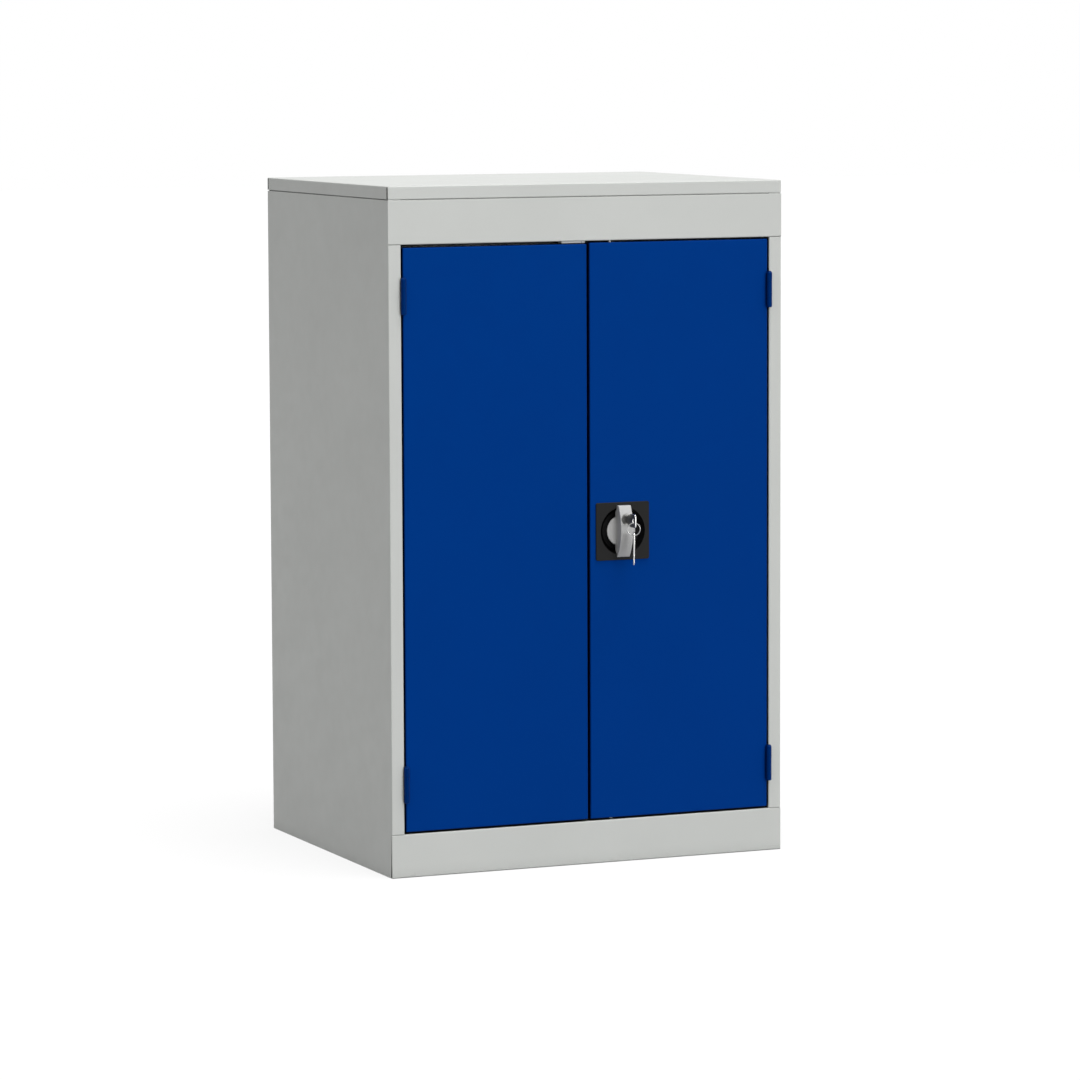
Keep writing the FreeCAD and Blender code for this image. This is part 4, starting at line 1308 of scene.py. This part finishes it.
def finishes() -> list[Finish]:
    """The cabinet's finishes.

    Returns:
        One finish for each coat.
    """
    low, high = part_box("lock_escutcheon")
    middle = (low + high) / 2
    body_paint = PowderCoat(Coat.BODY_PAINT, (0.56, 0.574, 0.554), (0.66, 0.675, 0.655), specular=0.32)
    door_paint = PowderCoat(
        Coat.DOOR_PAINT, (0.0, 0.029, 0.2), (0.0, 0.04, 0.235),
        reflection=(0.0, 0.3, 1.0), specular=0.25, roughness=0.45,
    )
    # The hinges take the door paint darkened as painted shade, with deeper painted shade in the gaps
    # beside their barrels.
    hinge_paint_shaded = replace(
        door_paint, coat=Coat.HINGE_PAINT_SHADED, colour=(0.0, 0.017, 0.115), edge_colour=(0.0, 0.021, 0.135),
        edge_radius=0.4 * MM, wave_depth=0.0, specular=0.2,
        gap_reach=12 * MM, gap_deepest=0.42, gap_shallowest=0.86,
    )
    return [
        body_paint,
        door_paint,
        hinge_paint_shaded,
        BareMetal(
            Coat.ZINC_STEEL, (0.47, 0.48, 0.5), roughness=0.4, roughness_swing=0.1, contrast=0.08
        ),
        BareMetal(
            Coat.CAST_HANDLE, (0.47, 0.47, 0.465), metallic=0.25, specular=0.15, roughness=0.6,
            edge_radius=0.9 * MM, edge_brightness=1.3,
        ),
        BareMetal(
            Coat.LOCK_METAL, (0.3, 0.3, 0.29), roughness=0.34,
            edge_radius=0.6 * MM, edge_brightness=2.4,
        ),
        # The plug takes the lock metal darkened, as painted shade on its face.
        BareMetal(
            Coat.PLUG_METAL_SHADED, (0.17, 0.17, 0.165), roughness=0.36, contrast=0.35, edge_brightness=2.0
        ),
        # The keys' nickel, as a lighter copy for the edges and a darker copy for the faces: painted
        # highlight and painted shade.
        BareMetal(Coat.KEY_EDGE_HIGHLIGHT, (0.78, 0.77, 0.75), roughness=0.3),
        BareMetal(Coat.KEY_FACE_SHADE, (0.24, 0.238, 0.23), roughness=0.42, contrast=0.12),
        BareMetal(Coat.RING_WIRE, (0.5, 0.5, 0.49), roughness=0.24, edge_brightness=1.1),
        MouldedPlastic(
            Coat.LOCK_PLATE, (0.0165, 0.0165, 0.0165), specular=0.08,
            # The sunk dish is smoother, and darkened as painted shade.
            polished_centre=(middle.x, middle.z), polished_radius=35.5 * MM,
            polished_shade_colour=(0.001, 0.001, 0.001),
        ),
        MouldedPlastic(Coat.GUIDE_PLASTIC, (0.015, 0.015, 0.015)),
        MouldedPlastic(Coat.CATCH_PLASTIC, (0.6, 0.61, 0.6), roughness=0.42),
        MouldedPlastic(Coat.MAGNET, (0.035, 0.035, 0.038), roughness=0.6),
        MouldedPlastic(Coat.RUBBER, (0.018, 0.018, 0.018), roughness=0.68, specular=0.2),
    ]


def main() -> None:
    """Build every sub-assembly in order, then the studio."""
    logging.basicConfig(level=logging.INFO, format="%(name)s: %(message)s")
    palette = Palette(finishes())
    kinds = (CabinetShell, DoorPair, HingeSet, ShelfStack, MagneticCatch, RodLock, KeyBunch)
    for kind in kinds:
        kind(palette).build()
    Studio().build()


if __name__ == "__main__":
    main()
